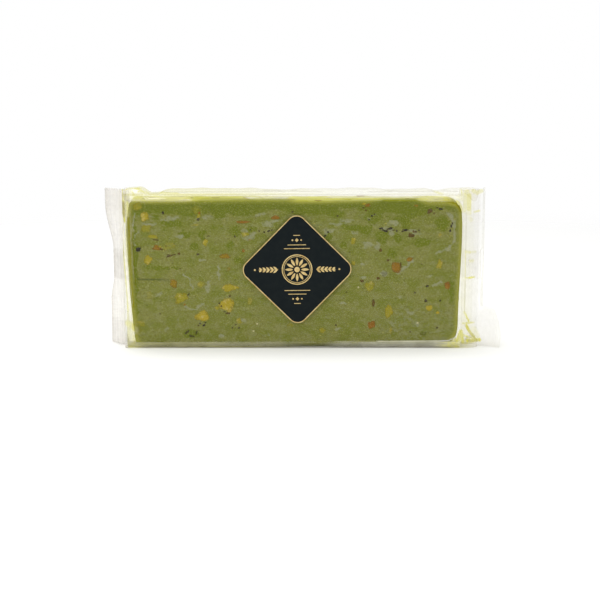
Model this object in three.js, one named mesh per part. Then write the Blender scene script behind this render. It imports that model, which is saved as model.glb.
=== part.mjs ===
// A pistachio nougat bar sealed in clear film, standing on its long edge.
// Millimetres, +Z up, the labelled front face towards -Y, the length along X.
// The origin is the middle of the underside that the bar stands on.
//
// Two sub-parts: "pack", the outer form of the sealed film bag with its two
// crimped end fins and its back seam, and "label", the sticker on its front.

import * as THREE from 'three';

// The body: film drawn tight round a 160 x 18.5 x 72 mm bar.
const BODY_HALF_LENGTH = 81;
const BODY_HALF_DEPTH = 9.6;
const BODY_HEIGHT = 77;
const SHOULDER_HEIGHT = 72; // where the film leaves the bar and leans in
const TOP_HALF_DEPTH = 6;
const LOWER_EDGE_RADIUS = 3;
const TOP_BUMPS = [
  { at: -76, rise: 1.1, reach: 5 }, // a crumpled peak by the left end
  { at: -32, rise: 0.5, reach: 26 },
  { at: 70, rise: -0.7, reach: 4 }, // a dent by the right end
];
const TOP_RIPPLES = [
  { rise: 0.18, pitch: 26 },
  { rise: 0.12, pitch: 12 },
];

// The ends: film that narrows from the body to each fin.
const LEFT_TAPER = { length: 1.8, power: 3 }; // tight against the bar
const RIGHT_TAPER = { length: 9, power: 1.3 }; // slack film beyond the bar
const TUCK_DEPTH = BODY_HALF_DEPTH; // the top and the underside fold in there

// The end fins: crimped flat seals that handling has bent.
const FIN_WIDTH = 11.4;
const FIN_HALF_THICKNESS = 0.45;
const FIN_CLEARANCE = 0.35; // a fin ends just above the floor
const RIB_PITCH = 1.2;
const RIB_DEPTH = 0.22;
const STATIONS_PER_RIB = 2;
const FIN_BEND_LENGTH = 3.5;
const FLAP_HEIGHT = 16; // the right fin's lower end, which turns forward
const FLAP_FOLD = 2.5;
const FLAP_SWAY = 4; // and brings its root forward with it

// The back seam: a flap that lies flat along the whole back.
const SEAM_LOW = 32.6;
const SEAM_HIGH = 46.6;
const SEAM_THICKNESS = 0.8;
const SEAM_STEP = 0.4;

// The mesh: spacing of the cross-sections and of the levels in each.
const BODY_STATION_PITCH = 6;
const TAPER_STATIONS = 6;
const LEVEL_PITCH = 7.5;
const LEVEL_GAP = 0.3; // levels closer than this are merged
const CROSS_FRACTIONS = [-0.5, 0, 0.5]; // points across the top and underside
const BEND_STEPS = 8;

// The label: a square sticker with round corners, stood on one corner.
const LABEL_SIDE = 40;
const LABEL_CORNER_RADIUS = 5;
const LABEL_THICKNESS = 0.35;
const LABEL_GAP = 0.3;
const LABEL_CENTRE = { x: 1.6, z: 38.9 };
const LABEL_TILT = THREE.MathUtils.degToRad(0.65);

const { lerp, smoothstep, clamp, degToRad } = THREE.MathUtils;

const LEFT = { side: -1, taper: LEFT_TAPER, bend: leftFinBend, sway: () => 0 };
const RIGHT = { side: 1, taper: RIGHT_TAPER, bend: rightFinBend, sway: rightSway };

// How far each fin is bent back (+) or forward (-), in radians, by height.
function leftFinBend(z) {
  const top = 37;
  const waist = 64;
  const foot = 54;
  const upper = lerp(waist, top, smoothstep(z, SEAM_HIGH, 70));
  return degToRad(lerp(foot, upper, smoothstep(z, 22, SEAM_LOW)));
}

function rightFinBend(z) {
  const back = 79;
  const flapTop = 38;
  const flapFoot = -34;
  const flap = lerp(flapFoot, flapTop, clamp(z / FLAP_HEIGHT, 0, 1));
  const fold = smoothstep(z, FLAP_HEIGHT, FLAP_HEIGHT + FLAP_FOLD);
  return degToRad(lerp(flap, back, fold));
}

// How far the right fin's root stands from mid-depth, by height.
function rightSway(z) {
  return -FLAP_SWAY * (1 - smoothstep(z, 0, FLAP_HEIGHT + FLAP_FOLD));
}

// How high the film's top stands along the pack.
function topHeight(x) {
  let height = BODY_HEIGHT;
  for (const { at, rise, reach } of TOP_BUMPS) {
    height += rise * Math.exp(-(((x - at) / reach) ** 2));
  }
  for (const { rise, pitch } of TOP_RIPPLES) {
    height += rise * Math.sin((2 * Math.PI * x) / pitch);
  }
  return height;
}

// Half the body's depth at a height, with its round lower edges and the
// shoulders where the film leans in above the bar.
function bodyHalfDepth(z) {
  const low = clamp(LOWER_EDGE_RADIUS - z, 0, LOWER_EDGE_RADIUS);
  const round = LOWER_EDGE_RADIUS - Math.sqrt(LOWER_EDGE_RADIUS ** 2 - low ** 2);
  const lean = clamp((z - SHOULDER_HEIGHT) / (BODY_HEIGHT - SHOULDER_HEIGHT), 0, 1);
  return lerp(BODY_HALF_DEPTH - round, TOP_HALF_DEPTH, lean * lean);
}

// The levels that each side of a cross-section passes through, lowest first:
// evenly spread, with more at the edges, the seam and the flap.
function sideLevels() {
  const levels = [0.13, 0.4, 1].map((part) => part * LOWER_EDGE_RADIUS);
  levels.push(0);
  const even = Math.round((SHOULDER_HEIGHT - LOWER_EDGE_RADIUS) / LEVEL_PITCH);
  for (let i = 1; i <= even; i++) {
    levels.push(lerp(LOWER_EDGE_RADIUS, SHOULDER_HEIGHT, i / even));
  }
  levels.push(SEAM_LOW - SEAM_STEP, SEAM_LOW, SEAM_HIGH, SEAM_HIGH + SEAM_STEP);
  levels.push(FLAP_HEIGHT, FLAP_HEIGHT + FLAP_FOLD / 2, FLAP_HEIGHT + FLAP_FOLD);
  for (const part of [0.4, 0.8]) {
    levels.push(lerp(SHOULDER_HEIGHT, BODY_HEIGHT, part));
  }
  levels.sort((a, b) => a - b);
  return levels.filter((z, i) => i === 0 || z - levels[i - 1] > LEVEL_GAP);
}

const LEVELS = sideLevels();

// One cross-section as [across, height] pairs, counter-clockwise seen from
// +X. taper is 0 in the body and 1 at the root of a fin and beyond it.
function crossSection(x, taper, halfDepth, tuck) {
  const floor = taper >= 1 ? FIN_CLEARANCE : 0;
  const top = topHeight(x);
  const halfAt = (z) => lerp(bodyHalfDepth(z) / BODY_HALF_DEPTH, 1, taper) * halfDepth;
  const heightOf = (z) => lerp(floor, top, z / BODY_HEIGHT);
  const seamAt = (z) => (z >= SEAM_LOW && z <= SEAM_HIGH ? SEAM_THICKNESS : 0);
  const edgeTop = halfAt(BODY_HEIGHT);
  const edgeLow = halfAt(0);

  const points = [];
  for (const z of [...LEVELS].reverse()) points.push([-halfAt(z), heightOf(z)]);
  for (const f of CROSS_FRACTIONS) {
    points.push([f * edgeLow, floor + tuck * (1 - Math.abs(f))]);
  }
  for (const z of LEVELS) points.push([halfAt(z) + seamAt(z), heightOf(z)]);
  for (const f of [1, ...CROSS_FRACTIONS.toReversed(), -1]) {
    points.push([f * edgeTop, top - tuck * (1 - Math.abs(f))]);
  }
  return points;
}

// Where the cross-sections stand along one end: first the taper, then the
// fin, each as { x, taper, halfDepth, tuck, along }, with along the distance
// past the fin's root.
function endStations({ side, taper }) {
  const stations = [];
  for (let i = 0; i <= TAPER_STATIONS; i++) {
    const t = 1 - (1 - i / TAPER_STATIONS) ** 2;
    const fullness = (1 - t ** taper.power) ** (1 / taper.power);
    stations.push({
      x: side * (BODY_HALF_LENGTH + t * taper.length),
      taper: t,
      halfDepth: lerp(FIN_HALF_THICKNESS, BODY_HALF_DEPTH, fullness),
      tuck: TUCK_DEPTH * t * (1 - t ** 8),
      along: 0,
    });
  }
  const count = Math.round(FIN_WIDTH / RIB_PITCH) * STATIONS_PER_RIB;
  for (let i = 1; i <= count; i++) {
    stations.push({
      x: side * (BODY_HALF_LENGTH + taper.length),
      taper: 1,
      halfDepth: FIN_HALF_THICKNESS,
      tuck: 0,
      along: (i / count) * FIN_WIDTH,
    });
  }
  return stations;
}

// A point of a cross-section in space. Past the fin's root it follows the
// fin's bend, and each rib is a small step to the front or to the back.
function place(station, end, across, height) {
  const sway = end.sway(height) * station.taper;
  if (station.along === 0) return [station.x, across + sway, height];
  const bend = end.bend(height);
  const ds = station.along / BEND_STEPS;
  let x = 0;
  let y = 0;
  for (let i = 0; i < BEND_STEPS; i++) {
    const angle = bend * smoothstep((i + 0.5) * ds, 0, FIN_BEND_LENGTH);
    x += Math.cos(angle) * ds;
    y += Math.sin(angle) * ds;
  }
  const angle = bend * smoothstep(station.along, 0, FIN_BEND_LENGTH);
  const rib = Math.round((station.along / RIB_PITCH) * STATIONS_PER_RIB) % 2;
  const out = across + (rib ? RIB_DEPTH : -RIB_DEPTH);
  return [
    station.x + end.side * (x - out * Math.sin(angle)),
    sway + y + out * Math.cos(angle),
    height,
  ];
}

// The rings of points from the left fin's edge to the right fin's edge.
function packRings() {
  const rings = [];
  const addEnd = (end, stations) => {
    for (const station of stations) {
      const { x, taper, halfDepth, tuck } = station;
      const section = crossSection(x, taper, halfDepth, tuck);
      rings.push(section.map(([across, z]) => place(station, end, across, z)));
    }
  };
  addEnd(LEFT, endStations(LEFT).reverse());
  const count = Math.round((2 * BODY_HALF_LENGTH) / BODY_STATION_PITCH);
  for (let i = 1; i < count; i++) {
    const x = lerp(-BODY_HALF_LENGTH, BODY_HALF_LENGTH, i / count);
    const section = crossSection(x, 0, BODY_HALF_DEPTH, 0);
    rings.push(section.map(([across, z]) => [x, across, z]));
  }
  addEnd(RIGHT, endStations(RIGHT));
  return rings;
}

// A closed mesh through rings of points, with a cap over each end.
function loft(rings) {
  const size = rings[0].length;
  const positions = rings.flat(2);
  const index = [];
  for (let i = 0; i + 1 < rings.length; i++) {
    for (let j = 0; j < size; j++) {
      const a = i * size + j;
      const b = i * size + ((j + 1) % size);
      index.push(a, b, a + size, b, b + size, a + size);
    }
  }
  const last = (rings.length - 1) * size;
  for (const [a, b, c] of capTriangles(size)) {
    index.push(a, c, b);
    index.push(last + a, last + b, last + c);
  }
  const geometry = new THREE.BufferGeometry();
  geometry.setAttribute('position', new THREE.Float32BufferAttribute(positions, 3));
  geometry.setIndex(index);
  geometry.computeVertexNormals();
  return geometry;
}

// Triangles over the end of a ring: a strip between the points of its front
// and its back side, closed by fans over the underside and the top.
function capTriangles(size) {
  const count = LEVELS.length;
  const front = (level) => count - 1 - level;
  const back = (level) => count + CROSS_FRACTIONS.length + level;
  const triangles = [];
  for (let level = 0; level + 1 < count; level++) {
    triangles.push([front(level), back(level), front(level + 1)]);
    triangles.push([back(level), back(level + 1), front(level + 1)]);
  }
  for (let j = front(0); j + 1 < back(0); j++) triangles.push([j, j + 1, back(0)]);
  for (let j = back(count - 1); j + 1 < size; j++) {
    triangles.push([j, j + 1, front(count - 1)]);
  }
  return triangles;
}

function makePack() {
  const film = new THREE.MeshStandardMaterial({
    color: 0xe9ead2,
    roughness: 0.12,
    metalness: 0,
  });
  const pack = new THREE.Mesh(loft(packRings()), film);
  pack.name = 'pack';
  return pack;
}

function makeLabel() {
  const straight = LABEL_SIDE / 2 - LABEL_CORNER_RADIUS;
  const outline = new THREE.Shape();
  for (let corner = 0; corner < 4; corner++) {
    const start = (corner * Math.PI) / 2;
    const sx = corner === 0 || corner === 3 ? 1 : -1;
    const sy = corner < 2 ? 1 : -1;
    outline.absarc(
      sx * straight,
      sy * straight,
      LABEL_CORNER_RADIUS,
      start,
      start + Math.PI / 2,
      false,
    );
  }
  const geometry = new THREE.ExtrudeGeometry(outline, {
    depth: LABEL_THICKNESS,
    bevelEnabled: false,
    curveSegments: 8,
  });
  const paper = new THREE.MeshStandardMaterial({
    color: 0x1a2024,
    roughness: 0.35,
    metalness: 0,
  });
  const label = new THREE.Mesh(geometry, paper);
  label.name = 'label';
  label.rotation.set(Math.PI / 2, 0, 0);
  const turned = new THREE.Group();
  turned.rotation.y = Math.PI / 4 - LABEL_TILT;
  turned.position.set(LABEL_CENTRE.x, -(BODY_HALF_DEPTH + LABEL_GAP), LABEL_CENTRE.z);
  turned.add(label);
  return turned;
}

const group = new THREE.Group();
group.add(makePack());
group.add(makeLabel());

export default group;
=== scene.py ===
"""Looks of a green nougat bar sealed in clear film.

Metres, +Z up, the labelled front face towards -Y. Pieces: the nougat, its
nuts by colour, the film as a body and two ends, the label's paper and its
gold, and the stage that they stand on.
"""

import math
import random

import bpy
import numpy as np
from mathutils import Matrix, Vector, noise


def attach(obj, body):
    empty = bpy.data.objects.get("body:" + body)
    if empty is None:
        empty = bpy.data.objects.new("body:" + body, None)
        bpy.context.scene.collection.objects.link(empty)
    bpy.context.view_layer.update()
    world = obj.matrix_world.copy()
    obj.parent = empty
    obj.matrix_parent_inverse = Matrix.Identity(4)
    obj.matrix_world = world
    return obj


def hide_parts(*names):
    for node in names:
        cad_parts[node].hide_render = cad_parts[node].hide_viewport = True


MM = 0.001
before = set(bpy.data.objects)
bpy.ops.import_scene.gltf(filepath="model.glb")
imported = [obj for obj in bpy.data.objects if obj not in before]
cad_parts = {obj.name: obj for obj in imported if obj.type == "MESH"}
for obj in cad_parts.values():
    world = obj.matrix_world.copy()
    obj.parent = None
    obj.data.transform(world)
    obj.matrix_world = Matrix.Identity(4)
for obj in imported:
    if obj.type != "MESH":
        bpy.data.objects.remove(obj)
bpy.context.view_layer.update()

# --- sizes, mm

# The film, as the solid in the frame has it.
BODY_HALF_LENGTH = 81
BODY_HALF_DEPTH = 9.6
BODY_HEIGHT = 77
SHOULDER_HEIGHT = 72
TOP_HALF_DEPTH = 6
LOWER_EDGE_RADIUS = 3
TOP_BUMPS = [(-76, 1.1, 5), (-32, 0.5, 26), (70, -0.7, 4)]  # at, rise, reach
TOP_RIPPLES = [(0.18, 26), (0.12, 12)]  # rise, pitch
FIN_WIDTH = 11.4
FIN_HALF_THICKNESS = 0.3
FIN_CLEARANCE = 0.35
RIB_PITCH = 1.2
RIB_DEPTH = 0.07
FIN_BEND_LENGTH = 3.5
FLAP_HEIGHT = 16
FLAP_FOLD = 2.5
FLAP_SWAY = 4
SEAM_LOW = 32.6
SEAM_HIGH = 46.6
SEAM_THICKNESS = 0.8
GUSSET_HEIGHT = 9.6  # the top and the underside fold this far into each end

# The nougat inside it.
BAR_HALF_DEPTH = 9.15
BAR_BOTTOM = 0.35
BAR_TOP = 72.2
BAR_HALF_LENGTH = 81  # before its ends follow the two edges below
# The nougat's two ends, from the foot up: height, then x.
BAR_LEFT_EDGE = [
    (5, -77.8), (12, -78.5), (18, -79), (29, -79.9), (42, -80.5), (55, -80.9), (62, -80.8), (70, -79.6),
]
BAR_RIGHT_EDGE = [(5, 80.0), (12, 80.2), (26, 80.4), (41, 81.2), (60, 81.5), (70, 81.1)]
BAR_CORNERS = {"low_left": 5.5, "high_left": 2.6, "low_right": 10.5, "high_right": 6.5}
BAR_EDGE_RADIUS = 1.1
BAR_LOW_EDGE_RADIUS = 1.8
BAR_END_EDGE_RADIUS = 1.21
BAR_PITCH = 0.7
BAR_MIDDLE = 36
BAR_LIFT_FROM = 40  # the top's rises below begin to tell from this height
BAR_BACK_RISE = 0.9  # how much higher the top is at the back
BAR_TOP_STEPS = [(41, 60.5, 0.7), (-50, 8, 0.3)]  # from x, to x, rise
BAR_STEP_START = 3  # each step grows over this length and ends over the next
BAR_STEP_END = 2
BAR_DENTS = [(0.35, 17, 0), (0.22, 5, 3.1)]  # depth, size, noise seed

# The label, a square stood on one corner.
LABEL_SIDE = 40
LABEL_CORNER = 5
LABEL_TURN = math.radians(45 + 0.65)
LABEL_CENTRE = (1.6, 38.9)


def lerp(a, b, t):
    return a + (b - a) * t


def follow(profile, at):
    """The value of a line through (place, value) points at each place."""
    return np.interp(at, *zip(*profile))


def smoothstep(value, low, high):
    """0 below low, 1 above high, and smooth between them."""
    t = np.clip((value - low) / (high - low), 0, 1)
    return t * t * (3 - 2 * t)


def waves(points, scale, seed=0.0):
    """Smooth noise at each point, from about -1 to 1, with features about scale
    mm across. The seed only tells one noise from another."""
    places = points / scale + np.array([seed, -seed, 2 * seed])
    return np.array([noise.noise(place) for place in places.tolist()])


# --- mesh helpers


def make_piece(name, points, faces, material, smooth=True):
    """A mesh object from points in mm that rides on the frame's only body."""
    mesh = bpy.data.meshes.new(name)
    mesh.from_pydata((np.asarray(points, float) * MM).tolist(), [], faces)
    mesh.update()
    mesh.polygons.foreach_set("use_smooth", [smooth] * len(mesh.polygons))
    mesh.materials.append(material)
    piece = bpy.data.objects.new(name, mesh)
    bpy.context.scene.collection.objects.link(piece)
    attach(piece, "root")
    return piece


def paint(piece, numbers):
    """Stores named numbers for each vertex, which the material reads by name."""
    for name, values in numbers.items():
        attribute = piece.data.attributes.new(name, "FLOAT", "POINT")
        attribute.data.foreach_set("value", np.asarray(values, np.float32))


# --- node helpers

MIX_FACTOR, MIX_A, MIX_B, MIX_RESULT = 0, 6, 7, 2  # the colour sockets of a Mix node
PASTE_GAIN = 0.98  # from the colours in the photograph to the surface's own


def linear(red, green, blue):
    """A colour read off the photograph, 0 to 255, by the sRGB curve."""
    parts = [part / 255 for part in (red, green, blue)]
    return [p / 12.92 if p <= 0.04045 else ((p + 0.055) / 1.055) ** 2.4 for p in parts]


def dye(red, green, blue, gain=1.0):
    """A surface colour: the photograph's, times a gain for the light here."""
    return (*[min(part * gain, 1.0) for part in linear(red, green, blue)], 1.0)


class Shading:
    """The nodes of a material or a world, built by short calls that return sockets."""

    def __init__(self, name, owners="materials"):
        self.owner = getattr(bpy.data, owners).new(name)
        self.owner.use_nodes = True
        self.tree = self.owner.node_tree
        self.tree.nodes.clear()

    def put(self, socket, value):
        """Links a socket to another one, or sets its value."""
        if isinstance(value, bpy.types.NodeSocket):
            self.tree.links.new(value, socket)
        else:
            socket.default_value = value

    def node(self, kind, inputs=None, **settings):
        made = self.tree.nodes.new("ShaderNode" + kind)
        for name, value in settings.items():
            setattr(made, name, value)
        for name, value in (inputs or {}).items():
            self.put(made.inputs[name], value)
        return made

    def attribute(self, name):
        return self.node("Attribute", attribute_name=name).outputs["Fac"]

    def noise(self, scale, detail=2.0, roughness=0.5, distortion=0.0):
        """Noise from 0 to 1 over the surface's own coordinates, with scale in
        features per mm, the same for all axes or one for each."""
        at = self.node("TexCoord").outputs["Object"]
        per_metre = tuple(np.broadcast_to(scale, 3) / MM)
        place = self.node("Mapping", {"Vector": at, "Scale": per_metre}).outputs["Vector"]
        inputs = {"Vector": place, "Scale": 1, "Detail": detail}
        inputs.update(Roughness=roughness, Distortion=distortion)
        return self.node("TexNoise", inputs).outputs["Fac"]

    def math(self, operation, a, b, clamp=False):
        made = self.node("Math", operation=operation, use_clamp=clamp)
        self.put(made.inputs[0], a)
        self.put(made.inputs[1], b)
        return made.outputs[0]

    def plus(self, a, b):
        return self.math("ADD", a, b)

    def minus(self, a, b):
        return self.math("SUBTRACT", a, b)

    def times(self, a, b, clamp=False):
        return self.math("MULTIPLY", a, b, clamp)

    def ramp(self, value, low, high, start=0.0, end=1.0):
        """start below low, end above high, and smooth between them."""
        sockets = ("Value", "From Min", "From Max", "To Min", "To Max")
        inputs = dict(zip(sockets, (value, low, high, start, end)))
        made = self.node("MapRange", inputs, interpolation_type="SMOOTHSTEP")
        return made.outputs["Result"]

    def blend(self, factor, a, b):
        """Colour a where the factor is 0 and colour b where it is 1."""
        made = self.node("Mix", data_type="RGBA")
        for place, value in ((MIX_FACTOR, factor), (MIX_A, a), (MIX_B, b)):
            self.put(made.inputs[place], value)
        return made.outputs[MIX_RESULT]

    def tint(self, colour, share, over):
        """A colour with a share of one of the photograph's colours over it."""
        return self.blend(share, colour, dye(*over, PASTE_GAIN))

    def bump(self, height, strength, distance):
        inputs = {"Height": height, "Strength": strength, "Distance": distance * MM}
        return self.node("Bump", inputs).outputs["Normal"]

    def principled(self, **inputs):
        named = {name.replace("_", " "): value for name, value in inputs.items()}
        return self.node("BsdfPrincipled", named).outputs["BSDF"]

    def mix(self, factor, a, b):
        """Shader a where the factor is 0 and shader b where it is 1."""
        made = self.node("MixShader", {"Fac": factor})
        self.put(made.inputs[1], a)
        self.put(made.inputs[2], b)
        return made.outputs["Shader"]

    def done(self, shader, output="OutputMaterial"):
        self.node(output, {"Surface": shader})
        return self.owner


# --- materials

# Colours of the paste as the photograph has them, from the bottom layer up;
# the last three are painted light along the edges, painted light on the top,
# and painted shade at the foot and along a crease.
STRATA_DARK, STRATA_LIGHT = (112, 118, 45), (124, 125, 65)
CLOUDED = (131, 132, 80)
WET = (101, 111, 27)
PALE = (140, 142, 108)
LIGHT_GRAIN, DARK_GRAIN = (152, 150, 88), (90, 92, 40)
FLECK, PIT = (172, 165, 84), (66, 64, 36)
EDGE_LIGHT = (157, 156, 68)
LIT = (205, 203, 42)
FOOT_AND_CREASE_SHADE = (54, 60, 45)
# Colours of the film: the painted reflection of the nougat that a crease lets
# through, its milk, that milk with the painted reflection, and the painted shade of its folds.
NOUGAT_REFLECTED, MILK, MILK_REFLECTING_NOUGAT, FOLD_SHADE = (232, 228, 88), (249, 246, 246), (238, 234, 140), (158, 147, 122)


def paste(m):
    """The paste's colour, wetness and relief: strata, mottling and grain, wet
    where the film touches it and pale where it doesn't, with painted light
    along its edges and on its top and painted shade at its foot and along a crease."""
    strata = m.noise((0.09, 0.12, 0.2), detail=5, roughness=0.62, distortion=0.5)
    cloud = m.noise((0.22, 0.22, 0.34), detail=5, roughness=0.65)
    grain = m.noise((1.0, 1.0, 1.2), detail=4, roughness=0.75)
    ragged = m.minus(m.noise((0.42, 0.42, 0.62), detail=5, roughness=0.66), 0.5)
    speck = m.noise((1.25, 1.25, 1.35), detail=2, roughness=0.6)
    crowd = m.ramp(m.noise((0.07, 0.07, 0.09), detail=2), 0.38, 0.62, 0.15, 0.8)
    wet = m.ramp(m.plus(m.attribute("wet"), m.times(ragged, 2.0)), 0.32, 0.74)
    pale = m.ramp(m.plus(m.attribute("pale"), m.times(ragged, 1.3)), 0.4, 0.85)
    layers = [
        (STRATA_LIGHT, m.ramp(strata, 0.38, 0.62)),
        (CLOUDED, m.ramp(cloud, 0.46, 0.66, 0, 0.8)),
        (WET, m.times(wet, 0.92)),
        (PALE, m.times(pale, 0.9)),
        (LIGHT_GRAIN, m.ramp(grain, 0.53, 0.69, 0, 0.72)),
        (DARK_GRAIN, m.ramp(grain, 0.32, 0.47, 0.8, 0)),
        (FLECK, m.times(m.ramp(speck, 0.62, 0.71), crowd)),
        (PIT, m.times(m.ramp(speck, 0.27, 0.34, 1, 0), crowd)),
        # Painted light along the edges and on the top, and painted shade at the foot and along a crease.
        (EDGE_LIGHT, m.attribute("rim")),
        (LIT, m.attribute("lit")),
        (FOOT_AND_CREASE_SHADE, m.attribute("dark")),
    ]
    colour = dye(*STRATA_DARK, PASTE_GAIN)
    for over, share in layers:
        colour = m.tint(colour, share, over)
    return colour, wet, m.plus(m.times(grain, 0.6), strata)


def nougat_material():
    m = Shading("nougat")
    colour, wet, height = paste(m)
    shader = m.principled(
        Base_Color=colour,
        Roughness=m.ramp(wet, 0, 1, 0.62, 0.4),
        Specular_IOR_Level=0.1,
        Normal=m.bump(height, 0.35, 0.12),
    )
    return m.done(shader)


def nut_material(name, cool, warm, accent, skin):
    """Chopped nut: its tones by the piece and by noise, with a darker skin
    near its rim, which the paste covers unevenly."""
    m = Shading(name)
    around, _, height = paste(m)
    mottle = m.noise(0.5, detail=4, roughness=0.6)
    fine = m.noise(1.5, detail=3, roughness=0.7)
    warmth = m.plus(m.times(m.attribute("tone"), 0.7), m.times(mottle, 0.6))
    ragged = m.times(m.minus(m.noise(0.9, detail=4), 0.5), 1.5)
    edge = m.plus(m.attribute("edge"), ragged)
    smear = m.times(m.noise((0.8, 0.8, 1.1), detail=4, roughness=0.6), 1.1)
    sunk = m.ramp(m.plus(m.attribute("sunk"), smear), 0.72, 1.25, 0, 0.9)
    layers = [
        (warm, m.ramp(warmth, 0.3, 0.95)),
        (accent, m.ramp(mottle, 0.52, 0.68, 0, 0.8)),
        (skin, m.ramp(fine, 0.34, 0.48, 0.4, 0)),
        (skin, m.ramp(edge, 0.6, 0.92, 0, 0.6)),
    ]
    colour = dye(*cool, PASTE_GAIN)
    for over, share in layers:
        colour = m.tint(colour, share, over)
    cover = m.math("MAXIMUM", m.ramp(edge, 0.8, 1.1), sunk)
    shader = m.principled(
        Base_Color=m.blend(cover, colour, around),
        Roughness=0.5,
        Specular_IOR_Level=0.1,
        Normal=m.bump(m.plus(fine, height), 0.3, 0.08),
    )
    return m.done(shader)


def film_material():
    """Clear film: milky where it is layered or crimped, with painted highlights
    in the milk, a painted reflection of the nougat where it is creased, and
    painted shade along its folds."""
    m = Shading("film")
    milk_and_highlight, nougat_reflection, shade, upright = (m.attribute(name) for name in ("milk_and_highlight", "nougat_reflection", "shade", "upright"))
    along = m.noise((0.02, 0.5, 1.3), detail=4, roughness=0.6, distortion=0.3)
    down = m.noise((0.6, 0.6, 0.015), detail=3, roughness=0.5, distortion=0.1)
    streak = m.plus(m.times(down, upright), m.times(along, m.minus(1.0, upright)))
    fine = m.ramp(streak, 0.38, 0.64)
    blotch = m.ramp(m.noise((0.12, 0.12, 0.2), detail=3), 0.35, 0.7, 0.85, 1.15)

    # Painted reflection of the nougat in what the film lets through and in its milk, and painted shade
    # along folds.
    reflection_share = m.times(nougat_reflection, m.ramp(fine, 0, 1, 0.75, 1.15), clamp=True)
    through = m.blend(reflection_share, (0.995, 0.995, 0.995, 1), dye(*NOUGAT_REFLECTED))
    through = m.blend(shade, through, dye(*FOLD_SHADE))
    clear = m.node("BsdfTransparent", {"Color": through}).outputs["BSDF"]

    milk = m.blend(reflection_share, dye(*MILK), dye(*MILK_REFLECTING_NOUGAT))
    milk = m.blend(shade, milk, dye(*FOLD_SHADE))
    milky = m.principled(Base_Color=milk, Roughness=0.4, Specular_IOR_Level=0.2)
    cover = m.times(m.times(milk_and_highlight, blotch), m.ramp(fine, 0, 1, 0.92, 1.08), clamp=True)
    sheet = m.mix(cover, clear, milky)

    normal = m.bump(streak, 0.15, 0.15)
    facing = m.node("LayerWeight", {"Blend": 0.5, "Normal": normal}).outputs["Facing"]
    most = m.ramp(upright, 0, 1, 0.12, 0.05)
    gloss = m.plus(m.times(m.math("POWER", facing, 4.0), most), 0.005)
    shine = m.node("BsdfGlossy", {"Roughness": 0.12, "Normal": normal}).outputs["BSDF"]
    return m.done(m.mix(gloss, sheet, shine))


def label_paper_material():
    """Matt black paper with a little fibre."""
    m = Shading("label_paper")
    mottle = m.noise(0.3, detail=4)
    fibre = m.noise(4, detail=2)
    shader = m.principled(
        Base_Color=m.blend(m.ramp(mottle, 0.35, 0.7), dye(18, 25, 27), dye(23, 29, 30)),
        Roughness=m.ramp(mottle, 0.3, 0.7, 0.36, 0.44),
        Specular_IOR_Level=0.07,
        Normal=m.bump(fibre, 0.1, 0.02),
    )
    return m.done(shader)


def label_gold_material():
    """Printed gold, worn in places."""
    m = Shading("label_gold")
    mottle = m.noise(0.5, detail=4)
    wear = m.noise(2.5, detail=3)
    colour = m.blend(m.ramp(mottle, 0.35, 0.7), dye(222, 199, 140), dye(196, 166, 104))
    colour = m.blend(m.ramp(wear, 0.58, 0.75, 0, 0.5), colour, dye(150, 124, 76))
    shader = m.principled(
        Base_Color=colour,
        Metallic=0.75,
        Roughness=m.ramp(wear, 0.3, 0.7, 0.3, 0.45),
        Normal=m.bump(wear, 0.15, 0.03),
    )
    return m.done(shader)


def floor_material():
    """Plain white, which fades away towards the rim of the floor."""
    m = Shading("floor")
    at = m.node("TexCoord").outputs["Object"]
    distance = m.node("VectorMath", {"Vector": at}, operation="LENGTH").outputs["Value"]
    white = m.principled(Base_Color=(0.92, 0.92, 0.905, 1), Roughness=0.9, Specular_IOR_Level=0.0)
    nothing = m.node("BsdfTransparent").outputs["BSDF"]
    return m.done(m.mix(m.ramp(distance, *FLOOR_FADE), white, nothing))


# --- nougat


def round_off(a, b, centre_a, centre_b, radius, sign_a, sign_b):
    """Turns the corner of a square, beyond a centre, into a quarter circle."""
    over_a = (a - centre_a) * sign_a / radius
    over_b = (b - centre_b) * sign_b / radius
    inside = (over_a > 0) & (over_b > 0)
    size = np.hypot(over_a, over_b)
    scale = np.where(inside, np.maximum(over_a, over_b) / np.maximum(size, 1e-9), 1.0)
    new_a = np.where(inside, centre_a + sign_a * radius * over_a * scale, a)
    new_b = np.where(inside, centre_b + sign_b * radius * over_b * scale, b)
    return new_a, new_b


def box_grid(half_x, half_y, low, high, pitch):
    """The points and faces of a box, as a closed grid about pitch mm fine."""
    lows, highs = (-half_x, -half_y, low), (half_x, half_y, high)
    counts = [max(2, round((b - a) / pitch)) for a, b in zip(lows, highs)]
    ids, points, faces = {}, [], []

    def corner(cell):
        if cell not in ids:
            ids[cell] = len(points)
            points.append([lerp(lows[k], highs[k], cell[k] / counts[k]) for k in range(3)])
        return ids[cell]

    for fixed in range(3):
        first, second = (fixed + 1) % 3, (fixed + 2) % 3
        for side in (0, counts[fixed]):
            for i in range(counts[first]):
                for j in range(counts[second]):
                    quad = []
                    for di, dj in ((0, 0), (1, 0), (1, 1), (0, 1)):
                        cell = [0, 0, 0]
                        cell[fixed], cell[first], cell[second] = side, i + di, j + dj
                        quad.append(corner(tuple(cell)))
                    faces.append(quad if side else quad[::-1])
    return np.array(points), faces


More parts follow.
